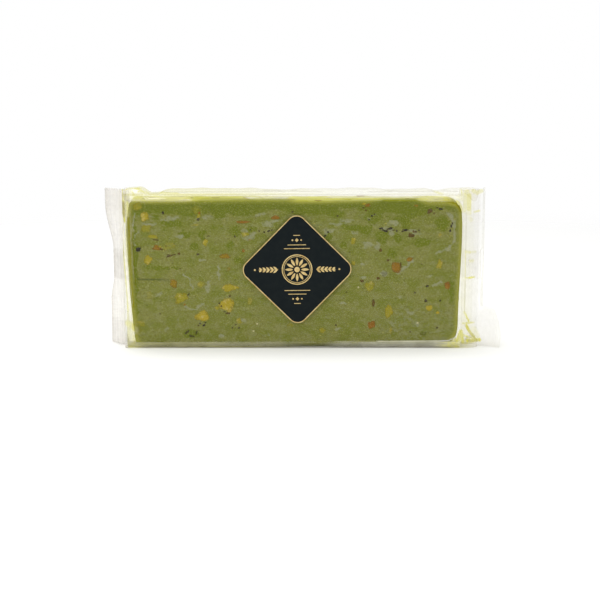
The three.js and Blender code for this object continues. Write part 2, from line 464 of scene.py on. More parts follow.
def soften_edges(x, y, z):
    """Rounds the block's corners and edges, each end and edge by its own radius."""
    half = BAR_HALF_LENGTH
    levels = {"low": (-1, BAR_BOTTOM), "high": (1, BAR_TOP)}
    for side, end in ((-1, "left"), (1, "right")):
        for height, (up, level) in levels.items():
            radius = BAR_CORNERS[f"{height}_{end}"]
            x, z = round_off(x, z, side * (half - radius), level - up * radius, radius, side, up)
    radii = {"low": BAR_LOW_EDGE_RADIUS, "high": BAR_EDGE_RADIUS}
    for front in (-1, 1):
        for height, (up, level) in levels.items():
            radius = radii[height]
            centre = front * (BAR_HALF_DEPTH - radius)
            y, z = round_off(y, z, centre, level - up * radius, radius, front, up)
        radius = BAR_END_EDGE_RADIUS
        for side in (-1, 1):
            centre = front * (BAR_HALF_DEPTH - radius)
            x, y = round_off(x, y, side * (half - radius), centre, radius, side, front)
    return x, y, z


def bar_shape():
    """The bar's points and faces: a block with soft, uneven edges."""
    half = BAR_HALF_LENGTH
    points, faces = box_grid(half, BAR_HALF_DEPTH, BAR_BOTTOM, BAR_TOP, BAR_PITCH)
    x, y, z = soften_edges(*points.T)
    share = (x + half) / (2 * half)
    x = lerp(follow(BAR_LEFT_EDGE, z), follow(BAR_RIGHT_EDGE, z), share)
    lift = smoothstep(z, BAR_LIFT_FROM, BAR_TOP)
    backward = smoothstep(y, -BAR_HALF_DEPTH, BAR_HALF_DEPTH)
    for start, stop, rise in BAR_TOP_STEPS:
        step = smoothstep(x, start, start + BAR_STEP_START)
        step = step * (1 - smoothstep(x, stop - BAR_STEP_END, stop))
        z = z + rise * lift * step * (1 - backward)
    z = z + BAR_BACK_RISE * lift * backward
    points = np.stack([x, y, z], axis=1)
    # Towards the middle, in full at the surface and hardly at all below it.
    inward = np.stack([-x / half, -y / BAR_HALF_DEPTH, 1 - z / BAR_MIDDLE], axis=1) ** 5
    dents = sum(depth * (0.5 + 0.5 * waves(points, size, seed)) for depth, size, seed in BAR_DENTS)
    return points + inward * dents[:, None], faces


# Soft spots on the front face: middle x and z, width and height, in mm.
WET_PATCHES = [
    (-66.6, 64.2, 3.6, 3), (-58.4, 61, 9.5, 3), (71.6, 61.5, 6.8, 6.8), (61.6, 51.8, 7.4, 4.4),
    (28.1, 59.1, 9.5, 3), (38.3, 64, 9.5, 5.5), (34.4, 58.1, 7, 4.6), (42.6, 54.7, 6.4, 5.8),
    (53.7, 61.5, 5.4, 5.4), (49.9, 53.7, 2.8, 4.2), (47.5, 46.4, 4.4, 4.2), (76.2, 28.4, 2.4, 12.5),
    (-70, 41, 3, 4), (-62, 39.4, 14, 1.8), (-48, 50, 5, 4), (-52, 56, 6, 4), (-44, 55.5, 4, 5),
    (-35.5, 66, 8, 5), (-28, 57.5, 6, 4.4), (-31, 50, 4, 5), (-20, 58.5, 5, 3), (-27, 43, 5, 3),
    (20, 65.5, 9, 3.4), (16, 55, 4, 5), (24, 50.5, 3.6, 3.6), (-50.2, 7.2, 7, 4.6),
    (63.1, 7.2, 4, 3), (-76.6, 38, 2.4, 50),
]
PALE_PATCHES = [
    (-74.5, 65.9, 4.2, 3), (-66, 67.8, 9, 2), (-55, 54.7, 4.4, 1.7), (-43.6, 43.2, 3.8, 1.5),
    (-58, 63.8, 9, 1.8), (-19.2, 56.2, 3, 2), (-23.4, 57.6, 3.4, 2), (-16.3, 65.4, 5, 2.2),
    (-25.5, 64.6, 5, 2), (-9.6, 62, 5, 2.4), (-42, 64.5, 6, 2.4), (18, 57.6, 5, 2.2),
    (21, 60.8, 7, 2.2), (29.3, 56.4, 4.2, 2.2), (35.9, 50.6, 5, 4), (38.2, 65.3, 4.2, 1.8),
    (47, 56.2, 4.2, 2.8), (43.6, 57.6, 5.6, 1.8), (59.3, 55.9, 4, 2.4), (52, 66.2, 5, 2),
    (47.6, 61.4, 5, 3), (43.4, 36.6, 4.6, 2.8), (51, 37.2, 3.4, 2.6), (33.5, 34.8, 2.6, 2.2),
    (-65.4, 26.4, 4, 2.8), (-41.5, 29.5, 3, 3.6), (21.1, 9.6, 3.6, 2), (-35.4, 5.9, 3.6, 1.8),
    (-24.5, 13.7, 3.4, 2.4), (-13, 6.4, 3, 1.6), (47.7, 12.5, 3.4, 1.8), (56.6, 17.4, 3.2, 2),
    (60.3, 12, 2.4, 3.2), (-78.3, 59.2, 1.8, 4.4), (26.5, 62.6, 6, 1.6), (45.2, 58.6, 6.5, 2.2),
    (57, 57.6, 5, 2.2), (40.5, 50.2, 3, 4.4), (15.5, 57.4, 3.2, 3.6), (-13, 60.6, 6, 3.4),
    (-21.5, 54.4, 6, 2.6), (-60.5, 62.6, 6, 1.6), (75, 66.4, 4.4, 2.2), (-69, 60.8, 7, 1.8),
    (60, 66.4, 5, 1.6), (34, 41.5, 3, 1.6), (66, 35.4, 3.4, 1.5), (24, 22, 3, 1.6),
    (52.6, 25, 2.2, 1.8), (-62, 9.4, 3.4, 1.8),
]
# Pale veins on the front face: width, then the points that each runs through.
PALE_VEINS = [
    (1.8, [(70.6, 69.1), (76, 64.5), (77.2, 58.1), (77.5, 53.2), (75.6, 49.3), (69.7, 46.9)]),
    (2, [(51.6, 37.6), (54.6, 40), (57.4, 44.2)]), (1.5, [(67.2, 30.6), (71.1, 32.8)]),
    (1.5, [(-53.5, 36.7), (-50.1, 33.2), (-49.2, 28.9)]), (1.5, [(-41, 33.2), (-42.4, 27.9)]),
    (1.4, [(-52.1, 20.6), (-48.7, 19.1), (-43.9, 22)]), (1.4, [(-36.1, 41), (-36.1, 33.7)]),
    (1.2, [(-75.5, 57), (-77.3, 51)]),
]
# Where the painted light along the bar's top begins: x, then how far back, in mm.
TOP_LIGHT = [
    (-50, -19), (-44, -9), (-4, -6), (2, -12), (16, -12), (22, -12), (36, -10), (42, -11),
    (58, -11), (64, -15), (74, -19),
]
# How much painted light the upper front edge gets: x, then a share.
TOP_EDGE = [
    (-62, 1.6), (-52, 1.3), (-46, 0.6), (-4, 0.55), (2, 1.5), (16, 1.4),
    (22, 0.85), (36, 0.8), (42, 0), (58, 0), (64, 1.3), (78, 1.4),
]
TOP_LIGHT_FADE = 11
TOP_EDGE_WIDTH = 2.2
TOP_EDGE_WIDENING = (1.3, 60, 66)  # by how much, and between which x
WET_BAND = (64.3, 67.3)  # the band along the front's top grows wet between these heights
WET_BAND_SWAY = 3.4
DRIER_END = (62, 74)  # the band grows drier between these x
UPPER = (46, 64)  # the front grows mottled between these heights
PALE_CORNER = (25, 50, 34, 16)  # the paste is paler beyond these x and below these z
END_LIGHT_REACH = 3.2  # how far in the painted light round an end reaches
FOOT_SHADE = (1.6, 2.8)  # painted shade below these heights
RAGGED_REACH = 1.5  # how far the marks' outlines wander, and over what distance
RAGGED_PITCH = 2.3
# A crease with painted shade along it: the points it runs through, and its width.
SHADED_CREASE = [(-75.7, 34.2), (-68, 33.6), (-60.3, 33.5)]
CREASE_WIDTH = 0.7


def spot(x, z, patch):
    """1 inside an oval patch, falling to 0 at half as far again."""
    centre_x, centre_z, width, height = patch
    reach = np.hypot((x - centre_x) / (width / 2), (z - centre_z) / (height / 2))
    return 1 - smoothstep(reach, 0.7, 1.5)


def stroke(x, z, width, path):
    """1 along a path, falling through a half at the edge of its width."""
    nearest = np.full(len(x), 1e9)
    for (x0, z0), (x1, z1) in zip(path, path[1:]):
        length = (x1 - x0) ** 2 + (z1 - z0) ** 2
        t = np.clip(((x - x0) * (x1 - x0) + (z - z0) * (z1 - z0)) / length, 0, 1)
        nearest = np.minimum(nearest, np.hypot(x - lerp(x0, x1, t), z - lerp(z0, z1, t)))
    return 1 - smoothstep(nearest, 0.25 * width, 0.75 * width)


def depth_inside(x, z):
    """How far places lie inside the bar's ends, round its corners too."""
    to_end = np.minimum(x - follow(BAR_LEFT_EDGE, z), follow(BAR_RIGHT_EDGE, z) - x)
    to_level = np.minimum(BAR_TOP - z, z - BAR_BOTTOM)
    at_left, at_low = x < 0, z < BAR_TOP / 2
    low = np.where(at_left, BAR_CORNERS["low_left"], BAR_CORNERS["low_right"])
    high = np.where(at_left, BAR_CORNERS["high_left"], BAR_CORNERS["high_right"])
    radius = np.where(at_low, low, high)
    over_end, over_level = np.maximum(radius - to_end, 0), np.maximum(radius - to_level, 0)
    return np.where((over_end > 0) & (over_level > 0), radius - np.hypot(over_end, over_level), to_end)


def wet_share(points, ragged, front, band):
    """Wet in a band along the top, in spots on the front and in clouds elsewhere."""
    upper = smoothstep(points[:, 2], *UPPER)
    clouds = 0.06 + 0.14 * upper + 0.5 * upper * waves(points * (0.6, 1, 1), 4.5, 2.7)
    wet = np.maximum((0.95 - 0.35 * smoothstep(points[:, 0], *DRIER_END)) * band, clouds)
    for patch in WET_PATCHES:
        wet = np.maximum(wet, 0.85 * front * spot(*ragged, patch))
    elsewhere = 0.3 + 0.5 * waves(points * (0.5, 1, 1), 9, 5.3)
    return np.maximum(wet, (1 - front) * elsewhere)


def pale_share(points, ragged, front, band):
    """Pale in spots and veins on the front, in clouds elsewhere, and low at the right."""
    upper = smoothstep(points[:, 2], *UPPER)
    from_x, to_x, from_z, to_z = PALE_CORNER
    corner = smoothstep(ragged[0], from_x, to_x) * (1 - smoothstep(ragged[1], to_z, from_z))
    pale = 0.12 + 0.1 * upper + 0.5 * upper * waves(points * (0.6, 1, 1), 4, 6.1) + 0.34 * corner
    for patch in PALE_PATCHES:
        pale = np.maximum(pale, 0.75 * front * spot(*ragged, patch))
    for width, path in PALE_VEINS:
        pale = np.maximum(pale, 0.85 * front * stroke(*ragged, width, path))
    elsewhere = 0.1 + 0.7 * waves(points * (0.6, 1, 1), 6, 8.1)
    return np.maximum(pale, (1 - front) * elsewhere) * (1 - 0.7 * band)


def edge_light_share(x, z, sway):
    """Painted light along the upper edge and round the ends."""
    widening, start, stop = TOP_EDGE_WIDENING
    reach = TOP_EDGE_WIDTH + widening * smoothstep(x, start, stop)
    near_top = smoothstep(z, BAR_TOP - reach, BAR_TOP - 0.6) * follow(TOP_EDGE, x)
    near_end = smoothstep(-depth_inside(x, z), -END_LIGHT_REACH + 0.8 * sway, -0.5)
    return np.clip(0.65 * near_top + 0.85 * near_end, 0, 0.95)


def lit_share(points):
    """Painted light on the top, from an uneven line near its front edge backwards."""
    x, y, z = points.T
    start = follow(TOP_LIGHT, x)
    strip = 0.15 + 0.52 * smoothstep(y, start, start + TOP_LIGHT_FADE)
    return smoothstep(z, BAR_TOP - 0.6, BAR_TOP - 0.1) * strip * (1 + 0.4 * waves(points, 5, 9.9))


def bar_marks(points):
    """What the paste's material reads at points on the bar or its nuts."""
    x, y, z = points.T
    front = smoothstep(-y, BAR_HALF_DEPTH - 1.5, BAR_HALF_DEPTH - 0.6)
    sway = waves(points * (1, 0, 0), 13, 1.7)
    band = smoothstep(z - WET_BAND_SWAY * sway, *WET_BAND)
    ragged_x = x + RAGGED_REACH * waves(points, RAGGED_PITCH, 11.3)
    ragged_z = z + 0.6 * RAGGED_REACH * waves(points, RAGGED_PITCH, 13.9)
    ragged = (ragged_x, ragged_z)
    # Painted shade along a crease and at the foot.
    crease_shade = front * stroke(x, z, CREASE_WIDTH, SHADED_CREASE)
    return {
        "wet": wet_share(points, ragged, front, band),
        "pale": pale_share(points, ragged, front, band),
        # Painted light along the edges and on the top, and painted shade at the foot and along a crease.
        "rim": edge_light_share(x, z, sway),
        "lit": lit_share(points),
        "dark": 0.6 * np.maximum(crease_shade, 1 - smoothstep(z, *FOOT_SHADE)),
    }


def make_bar():
    points, faces = bar_shape()
    bar = make_piece("nougat", points, faces, nougat_material())
    paint(bar, bar_marks(points))
    return bar


# --- nuts

# Nuts on the front face: middle x and z, width and height, turn in degrees,
# how far they are sunk under the paste's colour, and how warm their tone is.
YELLOW_NUTS = [
    (-71.5, 64.5, 3.5, 4.7, 10, 0, 0.6), (-75, 69.4, 4.4, 3.4, 0, 0.3, 0.2),
    (-70.9, 58.6, 4.4, 3.5, 0, 0.35, 0.1), (-67.7, 54.7, 4.9, 1.6, -3, 0.15, 0.3),
    (-60.8, 49.8, 5.8, 3.6, 15, 0.5, 0), (-70.4, 43.5, 3.9, 3.9, 0, 0.1, 0.5),
    (-42.7, 51.8, 2.2, 3, 0, 0.1, 0.4), (-46.8, 67.6, 3.9, 3.4, 20, 0.55, 0.3),
    (-45.6, 64.7, 1.9, 1.9, 0, 0.2, 0.3), (-47.2, 60.4, 3.9, 0.7, 3, 0.4, 0.4),
    (-23.3, 55.9, 3.4, 2.1, 10, 0.3, 0), (28.6, 52.8, 2, 3, -10, 0.2, 0.3),
    (28.8, 41.8, 1.8, 2, 0, 0.3, 0.3), (33.7, 70.6, 2, 1, 0, 0.2, 0.5),
    (70.6, 41.3, 2.5, 4, -12, 0.1, 0.3), (70.4, 55.4, 2, 2, 0, 0.5, 0.6),
    (-45, 31.3, 3.1, 2.8, 0, 0.4, 0.2), (-54.5, 24.9, 6.8, 4.2, 22, 0, 0.2),
    (-70, 26.2, 2.5, 3.9, 0, 0.6, 0.3), (-44.3, 15.7, 6, 5.2, 5, 0, 0.8),
    (-74.3, 12.3, 3.9, 2.5, -20, 0.4, 0.3), (-31.4, 29.8, 6.8, 3.5, 8, 0, 0.5),
    (-32.8, 21.5, 6.4, 6.2, 0, 0, 0.7), (-37.1, 19.8, 2.2, 1.8, 0, 0.2, 0.1),
    (-21.2, 23.5, 2.2, 3.4, 0, 0.45, 0.3), (-26.6, 13.5, 2.2, 3, 0, 0.3, 0.3),
    (-1.6, 11.5, 3, 1.5, 0, 0.5, 0.3), (36.8, 30.6, 4.2, 4.9, -25, 0.3, 0),
    (13.9, 8.9, 2.8, 2.5, 0, 0.25, 0.3), (46, 18.4, 3.4, 6.2, 5, 0.2, 0.4),
    (65.6, 19.8, 3, 3, 0, 0.05, 0.5), (69.9, 17.6, 1.6, 1.5, 0, 0, 0.9),
    (47.2, 8.9, 1.1, 3.6, 0, 0.5, 0.9), (-64.5, 49.9, 1.4, 1, 0, 0.4, 0),
    (-58.5, 51.3, 1.2, 0.9, 0, 0.4, 0),
]
AMBER_NUTS = [
    (-58.3, 32.1, 2.9, 4.4, 3, 0, 0.2), (-65.8, 49.3, 3.9, 2.3, -10, 0.1, 0.6),
    (-24.3, 61.8, 6.2, 1.3, 2, 0, 0.7), (-8.6, 64, 4, 1.8, 0, 0.1, 0.7),
    (-33.2, 45.1, 4.9, 2.2, 5, 0, 0.3), (-24.3, 47.9, 1.3, 1.6, 0, 0, 0.8),
    (-21.4, 53.2, 1.5, 1, 0, 0.4, 0.6), (49.4, 39.8, 4.2, 5, -10, 0, 0.6),
    (55.9, 43.7, 2.8, 2, 20, 0.1, 0.5), (74.5, 30.8, 2.8, 3.4, 30, 0, 0.9),
    (37.7, 11.5, 3.4, 3.4, 0, 0, 0.9), (-31.5, 38.9, 1.9, 1.9, 0, 0.5, 0.4),
    (35.4, 69.8, 2.6, 1.6, 0, 0.3, 0.9), (58.6, 69.6, 2, 1.4, 0, 0.4, 0.4),
    (-53, 21.5, 1.1, 1, 0, 0, 0.5), (-45.4, 66.2, 1, 1.2, 0, 0.2, 0.9),
]
# Dark pieces. A few, such as those below and left of the nut at -32.8, 21.5 and the one right of the amber
# nut at 49.4, 39.8, are painted shadow along the edges of larger nuts.
DARK_NUTS_AND_SHADOWS = [
    (-75, 48.4, 2.6, 2, 15, 0, 0), (-77.6, 49.8, 1, 3.4, 0, 0.6, 0),
    (-62.9, 66.2, 1, 1.4, 30, 0.1, 0.2), (-59.8, 45.4, 3.4, 0.9, 15, 0, 0.8),
    (-55.5, 46.4, 1.3, 1.1, 0, 0.1, 0.9), (-46, 63, 1.4, 1.2, 0, 0.1, 0),
    (-46.3, 46.2, 1.2, 1, 0, 0, 0.4), (-41, 55, 1.6, 0.5, 0, 0.1, 0.5),
    (-28.4, 54.9, 0.9, 0.9, 0, 0.2, 0.4), (-14.2, 56.9, 1, 0.8, 0, 0.1, 0.2),
    (-12.2, 57.4, 1.6, 0.7, 20, 0.1, 0.2), (-0.6, 66.7, 0.9, 0.8, 0, 0.3, 0.4),
    (21.1, 64.7, 0.9, 0.8, 0, 0.2, 0.4), (37.5, 64.7, 0.9, 0.9, 0, 0.1, 0.2),
    (36.1, 63, 0.8, 0.8, 0, 0.1, 0.2), (16.5, 56.9, 1, 0.8, 0, 0.1, 0.1),
    (15.1, 55.2, 0.9, 0.9, 0, 0.1, 0.1), (34.6, 67.4, 0.9, 0.7, 0, 0.1, 0.9),
    (33.4, 68.6, 0.9, 0.7, 0, 0.1, 0.9), (42, 58.8, 1.7, 0.9, 10, 0, 0.1),
    (44.2, 57.5, 2, 1.1, -20, 0, 0), (46.4, 58.7, 2, 1, 15, 0, 0.1), (53.7, 58, 2.4, 1.1, 0, 0, 0),
    (49.6, 57.6, 0.9, 0.9, 0, 0.1, 0.1), (58.8, 57.1, 1.2, 1, 0, 0.1, 0.6),
    (64.8, 66.3, 1.4, 1, 0, 0, 0.8), (67.4, 66, 0.8, 0.9, 0, 0.35, 0.8),
    (70.5, 68.1, 2, 0.8, -10, 0, 0.1), (75.8, 59.8, 0.8, 1.7, 0, 0.2, 0),
    (75.3, 57.6, 0.9, 1.3, 20, 0, 0), (45.5, 43.2, 1.3, 1, 0, 0.1, 0.8),
    (40.9, 34.5, 1.6, 1.2, 0, 0, 0.8), (43.8, 36.4, 3, 2.4, 20, 0.55, 0),
    (-51.9, 8, 2.6, 0.9, 40, 0.2, 0.4), (-49.4, 5.9, 2.8, 0.9, -8, 0.3, 0.3),
    (-47.4, 7.6, 0.8, 2.2, -20, 0.35, 0.3), (-43.7, 11.3, 1.4, 0.9, 30, 0.1, 0.2),
    (-45.6, 12.2, 1, 0.8, 0, 0.1, 0.2), (-35.2, 20.8, 0.9, 0.9, 0, 0.2, 0.4),
    (-32, 17.3, 2.4, 0.8, 0, 0.1, 0.5), (-31, 25.7, 0.9, 0.9, 0, 0.1, 0.8),
    (-26.7, 10.1, 0.9, 0.9, 0, 0.1, 0.4), (-29.9, 10.1, 0.8, 0.8, 0, 0.1, 0.4),
    (64.6, 30.6, 1.3, 1, 0, 0, 0.1), (58.8, 27.4, 1, 0.8, 0, 0.2, 0.4),
    (64.1, 23.5, 1.4, 1.2, 0, 0, 0.2), (71, 23.5, 0.9, 0.9, 0, 0.1, 0.3),
    (69.7, 10.1, 0.9, 0.9, 0, 0.1, 0.3), (63.1, 7.1, 2.6, 1.6, 0, 0.5, 0.5),
    (-51, 26.6, 0.7, 1.8, -30, 0.35, 0.2), (51.6, 40.8, 0.9, 2.8, 0, 0.3, 0.7),
    (32.9, 33.1, 1.8, 1.3, 0, 0.1, 1), (38.6, 22.3, 1.5, 3.2, 0, 0.15, 1),
    (41.9, 48.1, 1.4, 1.5, 20, 0.15, 1), (56.6, 55.4, 2.8, 1.8, -15, 0.05, 0.7),
    (65.4, 67.2, 2.4, 2, 30, 0.1, 0.9), (42.9, 57.9, 1.2, 0.8, 30, 0.3, 0.3),
    (45.3, 58.2, 1, 1.2, -10, 0.35, 0.5), (47.9, 57.9, 1.4, 0.6, 5, 0.3, 0.6),
    (52.4, 57.3, 1.1, 0.8, 25, 0.3, 0.3), (55.3, 57.9, 1, 0.6, 0, 0.3, 0.4),
    (57.6, 57.3, 0.9, 1.2, 0, 0.2, 0.8), (60.3, 57.8, 1, 0.7, 0, 0.3, 0.2),
    (68.9, 68.7, 0.9, 0.6, 0, 0.3, 0.3), (38.7, 65.6, 0.8, 0.6, 0, 0.3, 0.4),
    (76.3, 61.2, 0.7, 0.9, 0, 0.3, 0.2), (-63.8, 48.6, 1.6, 0.8, -20, 0.2, 0.8),
    (-61.6, 50.2, 1, 0.8, 0, 0.2, 0.9), (-60.4, 45.8, 1.2, 0.7, -20, 0.1, 0.7),
    (-57.6, 46, 1.2, 0.6, 20, 0.2, 0.7), (-66.5, 53.2, 2.6, 0.6, -8, 0.3, 0.8),
    (-10.6, 57.9, 0.9, 0.6, 0, 0.2, 0.2), (-16.6, 57.4, 0.9, 0.7, 0, 0.3, 0.3),
    (-21, 58.1, 0.8, 0.7, 0, 0.4, 0.3), (-43, 12.6, 0.9, 0.7, 0, 0.2, 0.4),
    (-46.4, 11.2, 0.8, 0.7, 0, 0.3, 0.4), (-33.6, 18, 1.2, 0.7, -10, 0.2, 0.6),
    (-36.1, 22.2, 0.8, 1.1, 0, 0.3, 0.5), (-28.2, 11.6, 1.1, 0.6, 10, 0.3, 0.4),
    (20.6, 11.4, 1, 0.8, 0, 0.3, 0.4), (25.6, 27.6, 0.8, 0.8, 0, 0.3, 0.5),
    (56.6, 8, 0.9, 0.8, 0, 0.3, 0.5), (27, 47.2, 0.8, 0.7, 0, 0.4, 0.5),
    (62, 41.4, 0.8, 0.7, 0, 0.4, 0.5), (-55, 39, 0.8, 0.7, 0, 0.4, 0.6), (-65, 17, 0.8, 0.8, 0, 0.4, 0.5),
]
WHITE_NUTS = [
    (-17.8, 12, 1, 0.8, 0, 0.2, 0.5), (-19.7, 8.4, 0.9, 0.8, 0, 0.2, 0.5),
    (31.3, 30.1, 1, 0.8, 0, 0.2, 0.5), (60.2, 12.5, 1, 0.9, 0, 0.2, 0.5),
]

# Each kind: its nuts on the front, their widths and share on the other sides,
# and its cool, warm, accent and skin colours.
NUT_KINDS = {
    "nuts_yellow": (
        YELLOW_NUTS, (1.6, 6.8), 0.42, ((140, 136, 40), (168, 149, 46), (178, 164, 92), (116, 104, 34)),
    ),
    "nuts_amber": (
        AMBER_NUTS, (1.2, 5.6), 0.2, ((136, 116, 32), (136, 95, 34), (154, 121, 50), (88, 70, 38)),
    ),
    "nuts_dark": (
        DARK_NUTS_AND_SHADOWS, (0.8, 2.8), 0.33, ((56, 52, 42), (98, 78, 36), (92, 90, 66), (52, 45, 32)),
    ),
    "nuts_pale": (
        WHITE_NUTS, (0.7, 1.2), 0.05, ((180, 176, 130), (196, 190, 140), (170, 162, 100), (130, 122, 70)),
    ),
}
# Each side of the bar, the labelled front first: the axis that it faces along
# and its sign, the axis across it and its sign, and the axis up it.
BAR_FACES = [(1, -1, 0, 1, 2), (1, 1, 0, -1, 2), (2, 1, 0, 1, 1), (0, 1, 1, 1, 2), (0, -1, 1, -1, 2)]
NUT_GROWTH = 1.14  # the rim of each nut is lost in the paste
NUTS_PER_SQUARE_MM = 0.0095
NUT_MARGIN = 2
NUT_SPOKES = 20
BAR_END_UNEVENNESS = 4  # how far a side's points lie behind its furthest one
BAR_SIDE_UNEVENNESS = 1.5
# A nut from its middle to its rim and round its back: how far out each ring
# lies, as a share, and how far it stands out of the bar, in mm.
NUT_PROFILE = [
    (0, 0.15), (0.35, 0.15), (0.62, 0.14), (0.82, 0.11), (0.94, 0.05), (1, -0.05), (0.9, -0.5), (0, -0.9),
]
NUT_RINGS_IN_SIGHT = 5
NUT_HIDDEN_EDGE = 1.2  # what the other rings are painted as, beyond the rim
NUT_LOBES = 4
NUT_LOBE_DEPTH = (0.02, 0.13)
NUT_SQUARENESS = (2, 3.2)  # from an ellipse to a rounded oblong
# Nuts scattered on the other sides: most are a quarter of the way up their
# range of widths.
NUT_COMMONEST = 0.25
NUT_FLATNESS = (0.4, 1.1)  # height over width
NUT_SINKS = (0, 0, 0.2, 0.5)
NUT_TURN = 0.6


def nut_shape(draw, width, height, turn):
    """A lump cut almost flush, as (right, up, out, edge) points and faces."""
    phase = [draw.uniform(0, 2 * math.pi) for _ in range(NUT_LOBES)]
    lobes = [draw.uniform(*NUT_LOBE_DEPTH) for _ in range(NUT_LOBES)]
    squareness = draw.uniform(*NUT_SQUARENESS)
    points, faces, rows = [], [], []
    for place, (share, out) in enumerate(NUT_PROFILE):
        edge = share if place < NUT_RINGS_IN_SIGHT else NUT_HIDDEN_EDGE
        spokes = NUT_SPOKES if share else 1
        rows.append(len(points))
        for spoke in range(spokes):
            angle = 2 * math.pi * spoke / NUT_SPOKES
            square = abs(math.cos(angle)) ** squareness + abs(math.sin(angle)) ** squareness
            reach = square ** (-1 / squareness)
            for k in range(NUT_LOBES):
                reach += lobes[k] * math.sin((k + 1) * angle + phase[k])
            right = share * reach * math.cos(angle) * width / 2
            up = share * reach * math.sin(angle) * height / 2
            turned_right = right * math.cos(turn) - up * math.sin(turn)
            turned_up = right * math.sin(turn) + up * math.cos(turn)
            points.append((turned_right, turned_up, out, edge))
    for spoke in range(NUT_SPOKES):
        after = (spoke + 1) % NUT_SPOKES
        faces.append((rows[0], rows[1] + spoke, rows[1] + after))
        for low, high in zip(rows[1:-2], rows[2:-1]):
            faces.append((low + spoke, high + spoke, high + after, low + after))
        faces.append((rows[-1], rows[-2] + after, rows[-2] + spoke))
    return points, faces


class BarFace:
    """One side of the bar: its outward axis, the axes across and up it, and
    the bar's own points there, which say how far out the surface lies."""

    def __init__(self, bar_points, axis, sign, across, across_sign, up):
        self.axis, self.sign = axis, sign
        self.across, self.across_sign, self.up = across, across_sign, up
        outward = bar_points[:, axis] * sign
        depth = BAR_END_UNEVENNESS if axis == 0 else BAR_SIDE_UNEVENNESS
        self.points = bar_points[outward > outward.max() - depth]
        self.low = self.points.min(axis=0)
        self.high = self.points.max(axis=0)

    def somewhere(self, draw):
        """A random place on this side, clear of its edges."""
        place = [0.0, 0.0, 0.0]
        for k in (self.across, self.up):
            place[k] = draw.uniform(self.low[k] + NUT_MARGIN, self.high[k] - NUT_MARGIN)
        return place

    def put(self, shape, place):
        """The points of a shape that lies on this side at a place."""
        gap = (self.points - np.array(place))[:, [self.across, self.up]]
        level = self.points[np.argmin((gap**2).sum(axis=1))][self.axis]
        points = []
        for right, up, out, _ in shape:
            point = [0.0, 0.0, 0.0]
            point[self.across] = place[self.across] + self.across_sign * right
            point[self.up] = place[self.up] + up
            point[self.axis] = level + self.sign * out
            points.append(point)
        return points

    def area(self):
        size = self.high - self.low
        return size[self.across] * size[self.up]


def make_nuts(name, kind, faces_of_bar):
    draw = random.Random(name)
    points, faces, tones, sinks, edges = [], [], [], [], []

    def add(side, place, width, height, turn, sunk, tone):
        shape, shape_faces = nut_shape(draw, width, height, turn)
        start = len(points)
        points.extend(side.put(shape, place))
        faces.extend([index + start for index in face] for face in shape_faces)
        tones.extend([tone] * len(shape))
        sinks.extend([sunk] * len(shape))
        edges.extend(edge for _, _, _, edge in shape)

    front, *others = faces_of_bar
    nuts_on_front, (low, high), share, colours = kind
    for x, z, width, height, turn, sunk, tone in nuts_on_front:
        add(front, (x, 0, z), NUT_GROWTH * width, NUT_GROWTH * height, math.radians(turn), sunk, tone)
    for side in others:
        for _ in range(round(side.area() * NUTS_PER_SQUARE_MM * share)):
            width = draw.triangular(low, high, lerp(low, high, NUT_COMMONEST))
            height = width * draw.uniform(*NUT_FLATNESS)
            sunk = draw.choice(NUT_SINKS)
            place, turn = side.somewhere(draw), draw.uniform(-NUT_TURN, NUT_TURN)
            add(side, place, width, height, turn, sunk, draw.random())
    piece = make_piece(name, points, faces, nut_material(name, *colours))
    paint(piece, {"tone": tones, "sunk": sinks, "edge": edges, **bar_marks(np.array(points))})


def make_all_nuts(bar):
    bar_points = np.array([vertex.co for vertex in bar.data.vertices]) / MM
    sides = [BarFace(bar_points, *axes) for axes in BAR_FACES]
    for name, kind in NUT_KINDS.items():
        make_nuts(name, kind, sides)


# --- film

BODY_PITCH = 1.5
BODY_FINE_PITCH = 0.3  # near the ends, where the film is creased
BODY_FINE_LENGTH = 7
LEVEL_PITCH = 0.5
TAPER_STEPS = 34
STEPS_PER_RIB = 4
CROSS_STEPS = 12
FOOT_FOLD = 3.3  # where the film's lower fold leaves the bar
FOOT_FOLD_RISE = [(-81, 3.1), (10, 3.1), (20, 3.2), (81, 3.5)]  # x, and the fold's height
FOOT_FOLD_REACH = (-1, 1.4)  # finer levels from here to here about it
FOOT_FOLD_PITCH = 0.15
LOWER_EDGE_SHARES = [0, 0.04, 0.13, 0.25, 0.4, 0.6, 0.8]
SEAM_RAMP = 0.3
LEAST_LEVEL_GAP = 0.1
SHOULDER_STEPS = 21
BEND_STEPS = 12
# Degrees that the fins turn back, and the heights between which it changes.
LEFT_BENDS = {"low": 54, "middle": 64, "high": 37}
LEFT_BEND_RISE = (22, 70)
RIGHT_BENDS = {"foot": -34, "flap": 38, "above": 79}
# Depth of the film's wrinkles, their grain along X and Z, and a noise seed.
BODY_CRUMPLE = (0.25, 16, 2, 2.2)
END_CRUMPLE = (0.3, 3, 16, 4.4)


def side_levels():
    """The heights that each side of a cross-section passes through, in mm."""
    low = LOWER_EDGE_RADIUS * np.array(LOWER_EDGE_SHARES)
    side = np.arange(LOWER_EDGE_RADIUS, SHOULDER_HEIGHT, LEVEL_PITCH)
    shoulder = np.linspace(SHOULDER_HEIGHT, BODY_HEIGHT, SHOULDER_STEPS)
    seam = [SEAM_LOW - SEAM_RAMP, SEAM_LOW, SEAM_HIGH, SEAM_HIGH + SEAM_RAMP]
    below, above = FOOT_FOLD_REACH
    fold = np.arange(FOOT_FOLD + below, FOOT_FOLD + above, FOOT_FOLD_PITCH)
    levels = np.unique(np.concatenate([low, side, shoulder, seam, fold]))
    return levels[np.insert(np.diff(levels) > LEAST_LEVEL_GAP, 0, True)]


LEVELS = side_levels()
FRACTIONS = np.linspace(-1, 1, CROSS_STEPS + 1)[1:-1]
